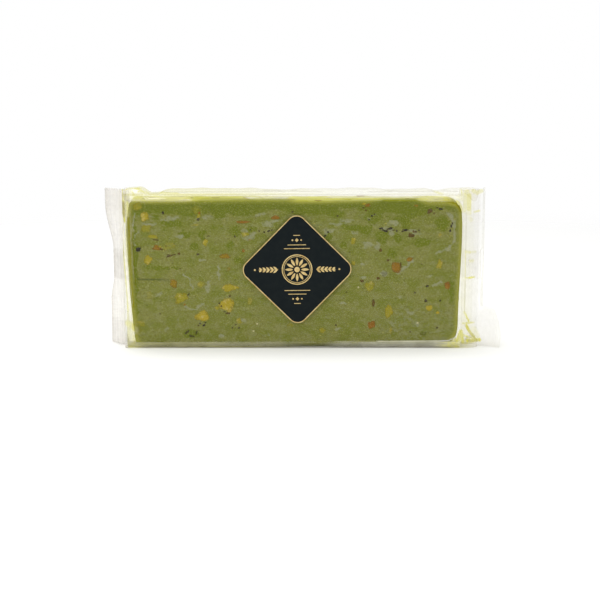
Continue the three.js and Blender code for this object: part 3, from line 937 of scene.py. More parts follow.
# Each point of a cross-section: its side (-1 front, 1 back, 0 across the top
# or the underside), its level and, where it lies across, its fraction.
RING_SIDE = np.concatenate([-np.ones(len(LEVELS)), 0 * FRACTIONS, np.ones(len(LEVELS)), 0 * FRACTIONS])
RING_LEVEL = np.concatenate([LEVELS[::-1], 0 * FRACTIONS, LEVELS, 0 * FRACTIONS + BODY_HEIGHT])
RING_FRACTION = np.concatenate([0 * LEVELS, FRACTIONS, 0 * LEVELS, FRACTIONS[::-1]])
# Where the film has settled lower than the solid's own top: at, drop, reach.
TOP_DIPS = [
    (-77.5, 0.5, 4), (-70, 2.1, 2.6), (-66, 1.7, 3), (-45, 0.6, 20), (-8, 0.8, 20), (53, 0.5, 12),
]


def top_height(x):
    height = BODY_HEIGHT
    for at, rise, reach in TOP_BUMPS:
        height += rise * math.exp(-(((x - at) / reach) ** 2))
    for rise, pitch in TOP_RIPPLES:
        height += rise * math.sin(2 * math.pi * x / pitch)
    for at, drop, reach in TOP_DIPS:
        height -= drop * math.exp(-(((x - at) / reach) ** 2))
    return height


def body_half_depth(z):
    low = np.clip(LOWER_EDGE_RADIUS - z, 0, LOWER_EDGE_RADIUS)
    rounding = LOWER_EDGE_RADIUS - np.sqrt(LOWER_EDGE_RADIUS**2 - low**2)
    lean = np.clip((z - SHOULDER_HEIGHT) / (BODY_HEIGHT - SHOULDER_HEIGHT), 0, 1)
    return lerp(BODY_HALF_DEPTH - rounding, TOP_HALF_DEPTH, lean * lean)


def section(x, taper, half_depth, tuck):
    """One cross-section of the film, as distances across and heights."""
    floor = FIN_CLEARANCE if taper >= 1 else 0
    top = top_height(x)
    half = lerp(body_half_depth(RING_LEVEL) / BODY_HALF_DEPTH, 1, taper) * half_depth
    seam = (RING_SIDE > 0) & (RING_LEVEL >= SEAM_LOW) & (RING_LEVEL <= SEAM_HIGH)
    across = np.where(RING_SIDE == 0, RING_FRACTION * half, RING_SIDE * half + seam * SEAM_THICKNESS)
    inward = tuck * (1 - np.abs(RING_FRACTION))
    height = lerp(floor, top, RING_LEVEL / BODY_HEIGHT)
    below, above = (RING_SIDE == 0) & (RING_LEVEL == 0), (RING_SIDE == 0) & (RING_LEVEL > 0)
    return across, height + np.where(below, inward, 0) - np.where(above, inward, 0)


def left_bend(z):
    start, stop = LEFT_BEND_RISE
    upper = lerp(LEFT_BENDS["middle"], LEFT_BENDS["high"], smoothstep(z, SEAM_HIGH, stop))
    return np.radians(lerp(LEFT_BENDS["low"], upper, smoothstep(z, start, SEAM_LOW)))


def right_bend(z):
    flap = lerp(RIGHT_BENDS["foot"], RIGHT_BENDS["flap"], np.clip(z / FLAP_HEIGHT, 0, 1))
    above = smoothstep(z, FLAP_HEIGHT, FLAP_HEIGHT + FLAP_FOLD)
    return np.radians(lerp(flap, RIGHT_BENDS["above"], above))


def left_sway(z):
    return 0 * z


def right_sway(z):
    return -FLAP_SWAY * (1 - smoothstep(z, 0, FLAP_HEIGHT + FLAP_FOLD))


def end_rings(end):
    """The film's cross-sections from the body to the outer edge of a fin."""
    side, length, power = end["side"], end["length"], end["power"]
    rings, alongs = [], []
    root = side * (BODY_HALF_LENGTH + length)
    for i in range(TAPER_STEPS + 1):
        t = 1 - (1 - i / TAPER_STEPS) ** 2
        half_depth = lerp(FIN_HALF_THICKNESS, BODY_HALF_DEPTH, (1 - t**power) ** (1 / power))
        x = side * (BODY_HALF_LENGTH + t * length)
        across, height = section(x, t, half_depth, GUSSET_HEIGHT * t * (1 - t**8))
        rings.append(np.stack([0 * across + x, across + end["sway"](height) * t, height], axis=1))
        alongs.append(0.0)
    count = round(FIN_WIDTH / RIB_PITCH) * STEPS_PER_RIB
    for i in range(1, count + 1):
        along = i / count * FIN_WIDTH
        across, height = section(root, 1, FIN_HALF_THICKNESS, 0)
        bend = end["bend"](height)
        step = along / BEND_STEPS
        x, y = 0 * height, 0 * height
        for j in range(BEND_STEPS):
            angle = bend * smoothstep((j + 0.5) * step, 0, FIN_BEND_LENGTH)
            x, y = x + np.cos(angle) * step, y + np.sin(angle) * step
        angle = bend * smoothstep(along, 0, FIN_BEND_LENGTH)
        out = across + RIB_DEPTH * math.sin(2 * math.pi * along / RIB_PITCH)
        ring_x = root + side * (x - out * np.sin(angle))
        ring_y = end["sway"](height) + y + out * np.cos(angle)
        rings.append(np.stack([ring_x, ring_y, height], axis=1))
        alongs.append(along)
    return np.array(rings), np.array(alongs)


def body_rings():
    fine = BODY_HALF_LENGTH - BODY_FINE_LENGTH
    outer = np.arange(fine, BODY_HALF_LENGTH + 0.01, BODY_FINE_PITCH)[1:]
    middle = np.linspace(-fine, fine, round(2 * fine / BODY_PITCH) + 1)
    stations = np.concatenate([-outer[::-1], middle, outer])
    stations[0], stations[-1] = -BODY_HALF_LENGTH, BODY_HALF_LENGTH
    rings = []
    for x in stations:
        across, height = section(x, 0, BODY_HALF_DEPTH, 0)
        rings.append(np.stack([0 * across + x, across, height], axis=1))
    return np.array(rings)


def tube_faces(stations, flip):
    size = len(RING_SIDE)
    faces = []
    for i in range(stations - 1):
        for j in range(size):
            a, b = i * size + j, i * size + (j + 1) % size
            quad = (a, b, b + size, a + size)
            faces.append(quad[::-1] if flip else quad)
    return faces


def close_fin(faces, stations, flip):
    """A cap over the outer edge of a fin: strips between its two sides."""
    count, across = len(LEVELS), len(FRACTIONS)
    start = (stations - 1) * len(RING_SIDE)
    for level in range(count - 1):
        front, back = start + count - 1 - level, start + count + across + level
        quad = (front, back, back + 1, front - 1)
        faces.append(quad[::-1] if flip else quad)
    return faces


def crumple(points, where, depth, scale_x, scale_z, seed):
    """Moves film in and out by noise, with its own grain along X and Z."""
    grain = points / np.array([scale_x, 4, scale_z])
    push = depth * where * waves(grain, 1, seed)
    moved = points.copy()
    moved[:, 1] += push * np.sign(points[:, 1])
    return moved


# Marks on the film, each as width, strength and the points it runs through.
# The nougat's colour in a crease is a painted reflection; the shades are painted shade along folds.
# The fold down the left end, with a painted reflection of the nougat along it, and the painted highlight
# beside it.
LEFT_FOLD = [(-83.1, 66), (-82.9, 58), (-81.9, 43), (-81.0, 29.5), (-80.3, 18)]
LEFT_GLEAM = [(-82.6, 65), (-82.2, 57.5), (-81.0, 42.5), (-80.2, 29.3), (-79.5, 18), (-79.2, 14)]
GLEAM_WIDTH = 1.1
BODY_REFLECTIONS = [
    (0.6, 0.8, LEFT_FOLD),
    (2.4, 0.8, [(-82, 71.5), (-81.7, 66)]), (0.8, 0.9, [(-81.6, 66), (-81.2, 62)]),
    (2.2, 0.7, [(-80, 71), (-80, 65)]),
    (0.6, 0.9, [(-79.4, 69), (-79.3, 60), (-79, 46), (-78.6, 34), (-77.6, 20)]),
    (0.5, 0.6, [(-77.8, 60), (-77.2, 44), (-76.4, 30)]), (3.4, 0.7, [(-80.5, 12.5), (-76, 9)]),
    (1.2, 0.9, [(-84, 77.2), (-80, 77.8)]), (0.9, 0.7, [(-80, 77.8), (-75, 77.6), (-72, 76)]),
    (1.8, 0.5, [(-81.5, 74.6), (-80.2, 71.5)]), (0.9, 0.7, [(-82.6, 76.6), (-82, 73)]),
    (0.7, 0.6, [(-77.6, 76.6), (-76.4, 74.2), (-72, 73.4)]),
    (0.5, 0.75, [(-75, 76.4), (-70, 75.7), (-56, 75.6)]), (0.5, 0.5, [(-75, 74), (-60, 73.6), (-40, 73.5)]),
    (1.6, 0.5, [(81, 77), (81, 73)]), (1.6, 0.4, [(68, 76.6), (71, 74.8)]),
    (2.4, 0.75, [(73, 72.9), (78.2, 71.3), (80.6, 67.6)]), (0.5, 0.5, [(18, 3.45), (71, 3.65)]),
    (2.2, 0.7, [(72, 1), (81, 1.4)]), (1.6, 0.9, [(80.9, 8.4), (79.6, 3.4)]),
    (1.6, 0.8, [(80.9, 6.4), (80.9, 3)]),
]
# Painted highlights: thin bright lines where the film is pulled tight round the bar.
BODY_GLEAMS = [
    (0.5, 0.16, [(-80, 66), (-79.9, 58), (-79.9, 50), (-79.6, 40), (-79, 30), (-78, 22)]),
    (0.4, 0.12, [(-78.4, 68), (-78.6, 60), (-78.2, 52), (-77.8, 42), (-77.2, 34)]),
    (0.5, 0.16, [(-76.2, 66), (-77.8, 58), (-79, 52)]), (2.2, 0.3, [(-80, 71), (-80, 65)]),
    (3.4, 0.25, [(-80.5, 12.5), (-77, 9)]), (1.5, 0.8, [(-77.5, 76.9), (-75.5, 76.4)]),
    (0.6, 0.8, [(-72, 73.15), (-61.5, 73.2)]), (0.5, 0.45, [(-79, 72.6), (-50, 72.6)]),
    (0.7, 0.55, [(-22, 73.5), (-3, 73.5)]), (1.3, 0.25, [(38, 74.4), (63, 74.4)]),
    (1.2, 0.45, [(44, 74.3), (57, 74.3)]), (0.8, 0.25, [(16, 74.1), (38, 74.1)]),
    (0.4, 0.15, [(-60, 3.1), (10, 3.1)]), (0.4, 0.3, [(18, 3.45), (50, 3.55)]),
    (0.5, 0.7, [(40, 3.5), (71, 3.65), (75.5, 3.9), (78.6, 5.4), (80.2, 8.6), (80.9, 12.6)]),
]
BODY_SHADES = [
    (0.45, 0.2, [(-66, 76), (0, 76.4), (14, 76.2)]), (0.45, 0.2, [(36, 76.2), (79, 76.4)]),
    (1.8, 0.55, [(-81.8, 71), (-81.5, 65)]), (2.4, 0.3, [(-81.5, 74.6), (-79.6, 72.6)]),
    (1.8, 0.16, [(74, 73.5), (79, 71.5), (80.6, 67)]),
]
RIGHT_REFLECTIONS = [
    (2.3, 0.75, [(84.2, 74.5), (84.2, 68)]), (2.6, 0.35, [(83.2, 78), (84.4, 66)]),
    (2, 0.5, [(86.4, 76.6), (88.8, 75.2), (91, 76)]), (0.9, 0.6, [(87.3, 66.2), (90.2, 66.4)]),
    (2.2, 0.25, [(84.6, 63.5), (85.6, 62.5)]), (1.4, 0.5, [(83, 47.4), (85.2, 46.8)]),
    (1, 0.35, [(85, 46.8), (88.4, 46.6)]), (1.6, 0.35, [(85.6, 42.6), (87, 42.4)]),
    (0.9, 0.8, [(83, 34.6), (88, 34.2)]), (0.6, 0.6, [(83, 48), (83, 34.4)]),
    (0.6, 0.4, [(83, 34), (82.9, 17.5)]), (1, 0.75, [(82.9, 17.8), (85.2, 13.2)]),
    (0.9, 0.65, [(82, 12.4), (88, 12)]), (1.4, 1, [(84, 11), (86, 7.6), (88.4, 4.6)]),
    (3, 0.3, [(87.8, 8.8), (89.8, 4.8)]), (1.8, 1, [(81.2, 8.6), (82.2, 3.2)]),
    (1.6, 0.5, [(82, 75), (81.9, 67)]), (0.8, 0.8, [(82.4, 6.8), (85.4, 5.2), (88.4, 4.4)]),
    (1.7, 1, [(84.6, 3.7), (91, 3.2)]), (0.8, 0.6, [(82, 2.4), (88, 2.8)]),
]
RIGHT_SHADES = [
    (1.2, 0.2, [(84, 11), (86, 7.6), (88.4, 4.6)]), (1.2, 0.22, [(85.4, 3.5), (90.6, 3.2)]),
    (0.6, 0.2, [(81.2, 8.4), (82.4, 6)]), (0.5, 0.22, [(83, 66), (83, 48)]),
    (0.5, 0.3, [(83, 33), (82.9, 18)]), (0.6, 0.12, [(91.2, 30), (92, 20)]),
]


def marks(x, z, strokes):
    """The strongest of the strokes at each point."""
    found = np.zeros(len(x))
    for width, strength, path in strokes:
        found = np.maximum(found, strength * stroke(x, z, width, path))
    return found


def between(at, low, high, soft):
    """1 between two places, with soft ends."""
    return smoothstep(at, low - soft, low + soft) * (1 - smoothstep(at, high - soft, high + soft))


def strongest(*sets):
    """The milk, painted reflection and shade at each point, each the greatest of several."""
    return [np.maximum.reduce(kind) for kind in zip(*sets)]


# Spans of x or z that bound the film's marks: low and high and, for a span with
# two soft ends, how soft they are.
OVER_BAR_RISE = (71.7, 74.5, 0.3)
OVER_BAR_LEFT = (-90, -50, 5)
OVER_BAR_RIGHT = (58, 66)
# The painted highlight along the tight middle of the shoulder lies within these.
HIGHLIGHT_RISE = (73.5, 74.2, 0.35)
HIGHLIGHT_LENGTH = (-24, 61, 3)
HIGHLIGHT_GAP = (-1, 15, 2)
BARE_LENGTHS = [(-50, -1, 3), (41, 60, 2)]
BARE_FADE = (72.9, 73.8)
CREASE_RISE = (74.4, 75.4, 0.35)
FOLD_RISE = (74.5, 75, 0.3)
SHOULDER_REFLECTION_FADE = (-60, 30)  # less painted reflection of the nougat towards the right
FOOT_DIP = (9, 13)  # x and reach: the clearest part below the fold
FOOT_MILK = (22, 50)
FOOT_CORNER = (66, 77)
FOOT_REFLECTION_FADE = (0, 40)
FLOOR_LINE = (0.3, 1.2)
BESIDE_BAR = (-80, -76.5)
BESIDE_RISE = (2, 72, 2)
GAP_RISE = (-2, 71, 1)
BACK_BORDERS = [(SEAM_LOW - 0.3, SEAM_LOW + 0.4, 0.2), (SEAM_HIGH - 0.4, SEAM_HIGH + 0.3, 0.2)]
SLACK_LENGTH = (81, 90)
SLACK_EDGE = (81.4, 83)
HIGH_TUCK = (66.4, 67.2)  # the film is layered above these heights
LOW_TUCK = (12.2, 13)  # and below these
FIN_EDGE = 4  # the outermost part of a fin, where the marks change again


def over_seam(z):
    return between(z, SEAM_LOW, SEAM_HIGH, 0.4)


def shoulder_marks(x, z, front):
    """The film over the nougat's upper edge, pulled tight in the middle: milky,
    with a painted highlight there, a painted reflection of the nougat and a
    line of painted shade.
    """
    shoulder = smoothstep(z, SHOULDER_HEIGHT + 0.2, SHOULDER_HEIGHT + 1.6)
    left = 1 - smoothstep(x, *SHOULDER_REFLECTION_FADE)
    over_ends = between(x, *OVER_BAR_LEFT) + smoothstep(x, *OVER_BAR_RIGHT)
    over_bar = front * between(z, *OVER_BAR_RISE) * over_ends
    tight_highlight_along = between(x, *HIGHLIGHT_LENGTH) * (1 - 0.8 * between(x, *HIGHLIGHT_GAP))
    tight_highlight = front * between(z, *HIGHLIGHT_RISE) * tight_highlight_along
    bare_along = sum(between(x, *length) for length in BARE_LENGTHS)
    bare = front * bare_along * (1 - smoothstep(z, *BARE_FADE))
    crease = front * between(z, *CREASE_RISE)
    milk_and_highlight = 0.12 * shoulder * (1 - 0.8 * bare) + 0.24 * over_bar + 0.3 * tight_highlight
    nougat_reflection = lerp(0.06, 0.2, left) * shoulder + lerp(0.1, 0.3, left) * crease + 0.25 * over_bar
    return milk_and_highlight, nougat_reflection, 0.2 * front * between(z, *FOLD_RISE)


def foot_marks(points):
    """The slack film below the fold, clearer at its dip and milky at the right,
    with a painted reflection of the nougat that is weaker at the dip and stronger at the right corner.
    """
    x, _, z = points.T
    fold = follow(FOOT_FOLD_RISE, x)
    low = 1 - smoothstep(z, fold - 0.3, fold + 0.1)
    at, reach = FOOT_DIP
    dip = np.exp(-(((x - at) / reach) ** 2))
    corner = smoothstep(x, *FOOT_CORNER)
    milky = 0.28 - 0.26 * dip + 0.08 * smoothstep(x, *FOOT_MILK) + 0.28 * corner
    milky = milky + 0.05 * waves(points * (1, 0, 0), 9, 4)
    milk_and_highlight = np.maximum(low * milky, 0.5 * (1 - smoothstep(z, *FLOOR_LINE)))
    nougat_reflection = low * (0.55 - 0.3 * smoothstep(x, *FOOT_REFLECTION_FADE) - 0.35 * dip + 0.5 * corner)
    return milk_and_highlight, nougat_reflection, 0 * x


def left_end_marks(x, z, front):
    """The painted highlight along the fold down the left end, and the film
    between it and the nougat, with a painted reflection of the nougat.
    """
    gleam = stroke(x, z, GLEAM_WIDTH, LEFT_GLEAM)
    dull = 1 - gleam
    beside = front * (1 - smoothstep(x, *BESIDE_BAR)) * between(z, *BESIDE_RISE)
    gap = smoothstep(follow(BAR_LEFT_EDGE, z) - x, -0.4, 0.3) * between(z, *GAP_RISE)
    return strongest(
        (0.75 * gleam * front, 0.25 * gleam * front, 0 * x),
        (0.05 * beside, 0.5 * beside * dull, 0 * x),
        (0.3 * gap, 0.3 * gap * dull, 0 * x),
    )


def back_seam_marks(y, z):
    back = smoothstep(y, BODY_HALF_DEPTH - 0.3, BODY_HALF_DEPTH)
    border = sum(between(z, *rise) for rise in BACK_BORDERS)
    return back * (0.12 * over_seam(z) + 0.22 * border), 0 * y, 0 * y


def body_film_marks(points):
    """What the film's material reads at points on the body."""
    x, y, z = points.T
    front = 1 - smoothstep(y, -4, 4)
    broken = np.clip(0.8 + 0.6 * waves(points * (0.3, 1, 1), 3, 7.7), 0, 1)
    # Painted highlights, painted reflections of the nougat and painted shade, from the tables above.
    gleams = front * broken * marks(x, z, BODY_GLEAMS)
    reflections = front * marks(x, z, BODY_REFLECTIONS)
    shades = front * marks(x, z, BODY_SHADES)
    milk_and_highlight, nougat_reflection, shade = strongest(
        (gleams, reflections, shades),
        shoulder_marks(x, z, front),
        foot_marks(points),
        left_end_marks(x, z, front),
        back_seam_marks(y, z),
    )
    upright = (np.abs(x) > BODY_HALF_LENGTH - BODY_FINE_LENGTH) * 1.0
    return {"milk_and_highlight": milk_and_highlight, "nougat_reflection": nougat_reflection, "shade": shade, "upright": upright}


def right_end_marks(points, along, front, in_fin, layered):
    """The slack right end, its gusset and its fin with the lower flap, with a
    painted reflection of the nougat and painted shade.
    """
    x, _, z = points.T
    slack = 1 - smoothstep(x, *SLACK_LENGTH)
    flap = 1 - smoothstep(z, FLAP_HEIGHT, FLAP_HEIGHT + FLAP_FOLD)
    nougat_reflection = 0.02 + 0.1 * slack + np.clip(0.12 * waves(points, 7, 3.3), 0, 1) * slack
    nougat_reflection = np.maximum(nougat_reflection, front * marks(x, z, RIGHT_REFLECTIONS))
    milk_and_highlight = lerp(0.18, 0.055 + 0.05 * flap, in_fin) + 0.035 * layered
    milk_and_highlight = milk_and_highlight * (1 - 0.6 * smoothstep(along, FIN_WIDTH - FIN_EDGE, FIN_WIDTH))
    plain = (1 - in_fin) * (0.02 + 0.03 * over_seam(z)) + 0.035 * flap * in_fin
    beside_bar = 0.09 * front * (1 - smoothstep(x, *SLACK_EDGE))
    shade = np.maximum.reduce([plain, front * marks(x, z, RIGHT_SHADES), beside_bar])
    return np.maximum(milk_and_highlight, 0.35 * nougat_reflection), nougat_reflection, shade


def left_fin_marks(points, along, front, in_fin, layered):
    """The milky left fin, and the body's marks where they run on to its root:
    a painted highlight, a painted reflection of the nougat and painted shade.
    """
    x, _, z = points.T
    at_root = front * (1 - in_fin)
    gleam = at_root * stroke(x, z, GLEAM_WIDTH, LEFT_GLEAM)
    milk_and_highlight = np.maximum(lerp(0.34, 0.44, in_fin) + 0.08 * layered, 0.75 * gleam)
    nougat_reflection = np.maximum(0.04, 0.25 * gleam)
    nougat_reflection = np.maximum(nougat_reflection, at_root * marks(x, z, BODY_REFLECTIONS) * (1 - 0.7 * gleam))
    outer = smoothstep(along, FIN_WIDTH - FIN_EDGE, FIN_WIDTH - 0.5)
    shade = in_fin * (0.035 + 0.04 * layered + 0.06 * over_seam(z) + 0.08 * outer)
    return milk_and_highlight, nougat_reflection, np.maximum(shade, at_root * marks(x, z, BODY_SHADES))


def end_film_marks(points, alongs, end):
    """What the film's material reads at points on an end. The film is layered
    at the back seam and where the top and the underside are folded in."""
    z = points[:, 2]
    along = np.repeat(alongs, len(RING_SIDE))
    front = np.tile((RING_SIDE < 0) * 1.0, len(alongs))
    in_fin = smoothstep(along, 0, 1.5)
    above, below = smoothstep(z, *HIGH_TUCK), 1 - smoothstep(z, *LOW_TUCK)
    layered = np.maximum.reduce([over_seam(z), above, below])
    milk_and_highlight, nougat_reflection, shade = end["marks"](points, along, front, in_fin, layered)
    return {"milk_and_highlight": milk_and_highlight, "nougat_reflection": nougat_reflection, "shade": shade, "upright": np.ones(len(z))}


ENDS = {
    "film_left": {
        "side": -1,
        "length": 1.8,
        "power": 3,
        "bend": left_bend,
        "sway": left_sway,
        "marks": left_fin_marks,
    },
    "film_right": {
        "side": 1,
        "length": 9,
        "power": 1.3,
        "bend": right_bend,
        "sway": right_sway,
        "marks": right_end_marks,
    },
}


def make_film_body(material):
    rings = body_rings()
    points = rings.reshape(-1, 3)
    shoulder = smoothstep(points[:, 2], SHOULDER_HEIGHT - 1, SHOULDER_HEIGHT + 2)
    points = crumple(points, shoulder, *BODY_CRUMPLE)
    body = make_piece("film_body", points, tube_faces(len(rings), False), material)
    paint(body, body_film_marks(points))
    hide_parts("pack")


def make_film_end(name, end, material):
    rings, alongs = end_rings(end)
    points = rings.reshape(-1, 3)
    flip = end["side"] < 0
    faces = close_fin(tube_faces(len(rings), flip), len(rings), flip)
    rows = np.arange(len(rings))
    in_fin = smoothstep(rows, TAPER_STEPS, TAPER_STEPS + 8)
    slack = smoothstep(rows, 1, TAPER_STEPS / 2) * (1 - 0.8 * in_fin)
    points = crumple(points, np.repeat(slack, len(RING_SIDE)), *END_CRUMPLE)
    piece = make_piece(name, points, faces, material)
    paint(piece, end_film_marks(points, alongs, end))
    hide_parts("pack")


def make_film():
    material = film_material()
    make_film_body(material)
    for name, end in ENDS.items():
        make_film_end(name, end, material)


# --- label

LABEL_BACK = -(BODY_HALF_DEPTH + 0.3)
LABEL_FRONT = -(BODY_HALF_DEPTH + 0.62)
GOLD_RELIEF = 0.05
BORDER_WIDTH = 0.45
# The generic design: two rings round a flower, a sprig at each side, and short
# rules with a lozenge between dots above and below.
RINGS = [(7.4, 6.9), (6.5, 6.25)]  # outer and inner radius
PETALS = 12
PETAL_START, PETAL_LENGTH, PETAL_WIDTH, PETAL_CROWN = 1.9, 3.9, 1.25, 0.08
FLOWER_HEART = (1.3, 0.1)  # radius and crown
SPRIG_LEAVES = 5
SPRIG_START, SPRIG_PITCH, SPRIG_END = 9.4, 1.9, 18.6
LEAF_LENGTH, LEAF_SHORTENING, LEAF_WIDTH, LEAF_LEAN, LEAF_CROWN = 2.6, 0.22, 0.9, 0.62, 0.05
STEM_START, STEM_HALF_WIDTH = 9.2, 0.12
SPRIG_DOT = (20.4, 0.45, 0.03)  # place, radius and crown
RULES = [(10.2, 6.2), (12.0, 4.4), (16.6, 1.6)]  # height and half its length
RULE_HALF_WIDTH = 0.16
LOZENGE = (14.3, 0.9, 0.04)  # height, radius and crown
LOZENGE_DOTS = (2.1, 0.4, 0.02)  # distance to each side, radius and crown


def label_point(right, up, y):
    """A point of the label, whose own axes run along its level diagonals."""
    tilt = LABEL_TURN - math.pi / 4
    x = LABEL_CENTRE[0] + right * math.cos(tilt) - up * math.sin(tilt)
    z = LABEL_CENTRE[1] + right * math.sin(tilt) + up * math.cos(tilt)
    return (x, y, z)


def diamond_outline(inset=0.0, steps=10):
    """A rounded square stood on its corner, counter-clockwise from the front."""
    straight = LABEL_SIDE / 2 - LABEL_CORNER
    radius = LABEL_CORNER - inset
    outline = []
    for corner in range(4):
        sx = 1 if corner in (0, 3) else -1
        sy = 1 if corner < 2 else -1
        for i in range(steps + 1):
            angle = math.pi / 2 * (corner + i / steps)
            a = sx * straight + radius * math.cos(angle)
            b = sy * straight + radius * math.sin(angle)
            outline.append(((a - b) / math.sqrt(2), (a + b) / math.sqrt(2)))
    return outline


class Relief:
    """Flat shapes on the label, gathered into one mesh."""

    def __init__(self, y):
        self.y = y
        self.points = []
        self.faces = []

    def plate(self, outline, height, crown=0.0):
        """A closed outline raised by height, and by crown more at its middle."""
        start, count = len(self.points), len(outline)
        self.points += [label_point(a, b, self.y) for a, b in outline]
        self.points += [label_point(a, b, self.y - height) for a, b in outline]
        centre = np.mean(outline, axis=0)
        self.points.append(label_point(*centre, self.y - height - crown))
        middle = start + 2 * count
        for i in range(count):
            j = (i + 1) % count
            self.faces.append((start + i, start + j, start + count + j, start + count + i))
            self.faces.append((start + count + i, start + count + j, middle))

    def band(self, outer, inner, height):
        """The strip between two outlines of as many points, raised by height."""
        start, count = len(self.points), len(outer)
        rows = [(outer, 0.0), (outer, height), (inner, height), (inner, 0.0)]
        for outline, rise in rows:
            self.points += [label_point(a, b, self.y - rise) for a, b in outline]
        for row in range(3):
            for i in range(count):
                j = (i + 1) % count
                a, b = start + row * count, start + (row + 1) * count
                self.faces.append((a + i, a + j, b + j, b + i))


def circle(radius, centre=(0, 0), steps=48):
    angles = [2 * math.pi * i / steps for i in range(steps)]
    return [(centre[0] + radius * math.cos(a), centre[1] + radius * math.sin(a)) for a in angles]


def strip(left, right, height, half_width):
    """A level strip, counter-clockwise from its lower left."""
    low, high = height - half_width, height + half_width
    return [(left, low), (right, low), (right, high), (left, high)]


def leaf(start, angle, length, width, steps=8):
    """A pointed leaf that grows from start at an angle."""
    outline = []
    for side in (1, -1):
        for i in range(steps):
            t = i / steps if side > 0 else 1 - i / steps
            across = side * width / 2 * math.sin(math.pi * t) ** 0.8
            right = start[0] + t * length * math.cos(angle) + across * math.sin(angle)
            up = start[1] + t * length * math.sin(angle) - across * math.cos(angle)
            outline.append((right, up))
    return outline


def draw_flower(gold):
    for outer, inner in RINGS:
        gold.band(circle(outer), circle(inner), GOLD_RELIEF)
    for i in range(PETALS):
        angle = 2 * math.pi * i / PETALS
        start = (PETAL_START * math.cos(angle), PETAL_START * math.sin(angle))
        gold.plate(leaf(start, angle, PETAL_LENGTH, PETAL_WIDTH), GOLD_RELIEF, PETAL_CROWN)
    radius, crown = FLOWER_HEART
    gold.plate(circle(radius, steps=24), GOLD_RELIEF, crown)


def draw_sprig(gold, side):
    for i in range(SPRIG_LEAVES):
        start = (side * (SPRIG_START + SPRIG_PITCH * i), 0)
        for lean in (-1, 1):
            angle = math.pi / 2 - side * (math.pi / 2) + side * lean * LEAF_LEAN
            length = LEAF_LENGTH - LEAF_SHORTENING * i
            gold.plate(leaf(start, angle, length, LEAF_WIDTH), GOLD_RELIEF, LEAF_CROWN)
    stem = strip(STEM_START, SPRIG_END, 0, STEM_HALF_WIDTH)
    gold.plate([(side * right, side * up) for right, up in stem], GOLD_RELIEF)
    place, radius, crown = SPRIG_DOT
    gold.plate(circle(radius, (side * place, 0), 16), GOLD_RELIEF, crown)


def draw_rules(gold, up):
    for height, half_length in RULES:
        gold.plate(strip(-half_length, half_length, up * height, RULE_HALF_WIDTH), GOLD_RELIEF)
    height, radius, crown = LOZENGE
    gold.plate(circle(radius, (0, up * height), 4), GOLD_RELIEF, crown)
    aside, radius, crown = LOZENGE_DOTS
    for side in (-1, 1):
        gold.plate(circle(radius, (side * aside, up * height), 12), GOLD_RELIEF, crown)


def make_label():
    paper = Relief(LABEL_BACK)
    paper.plate(diamond_outline(), LABEL_BACK - LABEL_FRONT)
    piece = make_piece("label_paper", paper.points, paper.faces, label_paper_material(), False)
    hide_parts("label")
    gold = Relief(LABEL_FRONT)
    gold.band(diamond_outline(), diamond_outline(BORDER_WIDTH), GOLD_RELIEF)
    draw_flower(gold)
    for side in (-1, 1):
        draw_sprig(gold, side)
    for up in (-1, 1):
        draw_rules(gold, up)
    make_piece("label_gold", gold.points, gold.faces, label_gold_material(), False)


# --- stage

# The camera looks down on the bar from before its label, in mm.
CAMERA_DISTANCE = 700
CAMERA_ELEVATION = math.radians(8.3)
CAMERA_X = 3
AIM_HEIGHT = 23.9
SENSOR_WIDTH = 36
PIXELS_PER_MM = 2.07
PICTURE_WIDTH = 600  # in pixels
FOCAL_LENGTH = SENSOR_WIDTH * PIXELS_PER_MM * CAMERA_DISTANCE / PICTURE_WIDTH
# The rest of the stage is in metres and watts.
CLIP_START = 0.01
AMBIENT = 0.75
FLOOR_RADIUS = 0.9
FLOOR_FADE = (0.3, 0.7)
FLOOR_SPOKES = 64
LIGHTS = {
    "top_light": {"place": (-0.15, 0.05, 0.9), "aim": (0, 0, 0), "size": 0.8, "power": 4.5},
    "front_light": {"place": (-0.45, -0.9, 0.75), "aim": (0, 0, 0.03), "size": 0.7, "power": 2.5},
}
LAYERS_SEEN_THROUGH = 24


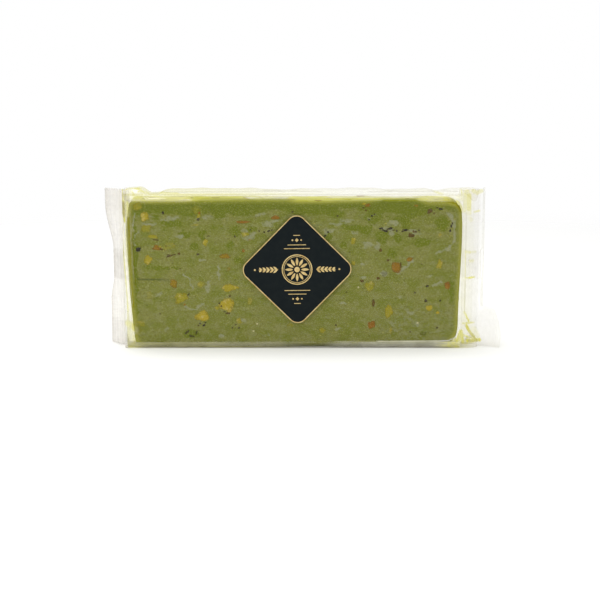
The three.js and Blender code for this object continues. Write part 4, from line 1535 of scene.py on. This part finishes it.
def make_camera():
    camera = bpy.data.objects.new("camera", bpy.data.cameras.new("camera"))
    camera.data.sensor_width = SENSOR_WIDTH
    camera.data.lens = FOCAL_LENGTH
    camera.data.clip_start = CLIP_START
    y = -BODY_HALF_DEPTH - CAMERA_DISTANCE * math.cos(CAMERA_ELEVATION)
    z = LABEL_CENTRE[1] + CAMERA_DISTANCE * math.sin(CAMERA_ELEVATION)
    place = Vector((CAMERA_X, y, z)) * MM
    aim = Vector((CAMERA_X, -BODY_HALF_DEPTH, AIM_HEIGHT)) * MM
    camera.location = place
    camera.rotation_euler = (aim - place).to_track_quat("-Z", "Y").to_euler()
    bpy.context.scene.collection.objects.link(camera)
    bpy.context.scene.camera = camera


def make_light(name, place, aim, size, power):
    light = bpy.data.objects.new(name, bpy.data.lights.new(name, "AREA"))
    light.data.shape = "DISK"
    light.data.size = size
    light.data.energy = power
    light.location = place
    light.rotation_euler = (Vector(aim) - Vector(place)).to_track_quat("-Z", "Y").to_euler()
    bpy.context.scene.collection.objects.link(light)


def make_world():
    """White to the camera and a soft even grey to everything else."""
    m = Shading("studio", "worlds")
    white = (1, 1, 1, 1)
    seen = m.node("Background", {"Color": white}).outputs[0]
    ambient = m.node("Background", {"Color": white, "Strength": AMBIENT}).outputs[0]
    by_camera = m.node("LightPath").outputs["Is Camera Ray"]
    bpy.context.scene.world = m.done(m.mix(by_camera, ambient, seen), "OutputWorld")


def make_floor():
    angles = [2 * math.pi * i / FLOOR_SPOKES for i in range(FLOOR_SPOKES)]
    rim = [(FLOOR_RADIUS * math.cos(a), FLOOR_RADIUS * math.sin(a), 0) for a in angles]
    points = [(0, 0, 0)] + rim
    faces = [(0, 1 + i, 1 + (i + 1) % FLOOR_SPOKES) for i in range(FLOOR_SPOKES)]
    mesh = bpy.data.meshes.new("floor")
    mesh.from_pydata(points, [], faces)
    mesh.materials.append(floor_material())
    floor = bpy.data.objects.new("floor", mesh)
    bpy.context.scene.collection.objects.link(floor)


def make_stage():
    make_camera()
    make_world()
    make_floor()
    for name, light in LIGHTS.items():
        make_light(name, **light)
    scene = bpy.context.scene
    scene.view_settings.view_transform = "Standard"
    scene.cycles.transparent_max_bounces = LAYERS_SEEN_THROUGH


# --- make

make_stage()
make_all_nuts(make_bar())
make_film()
make_label()
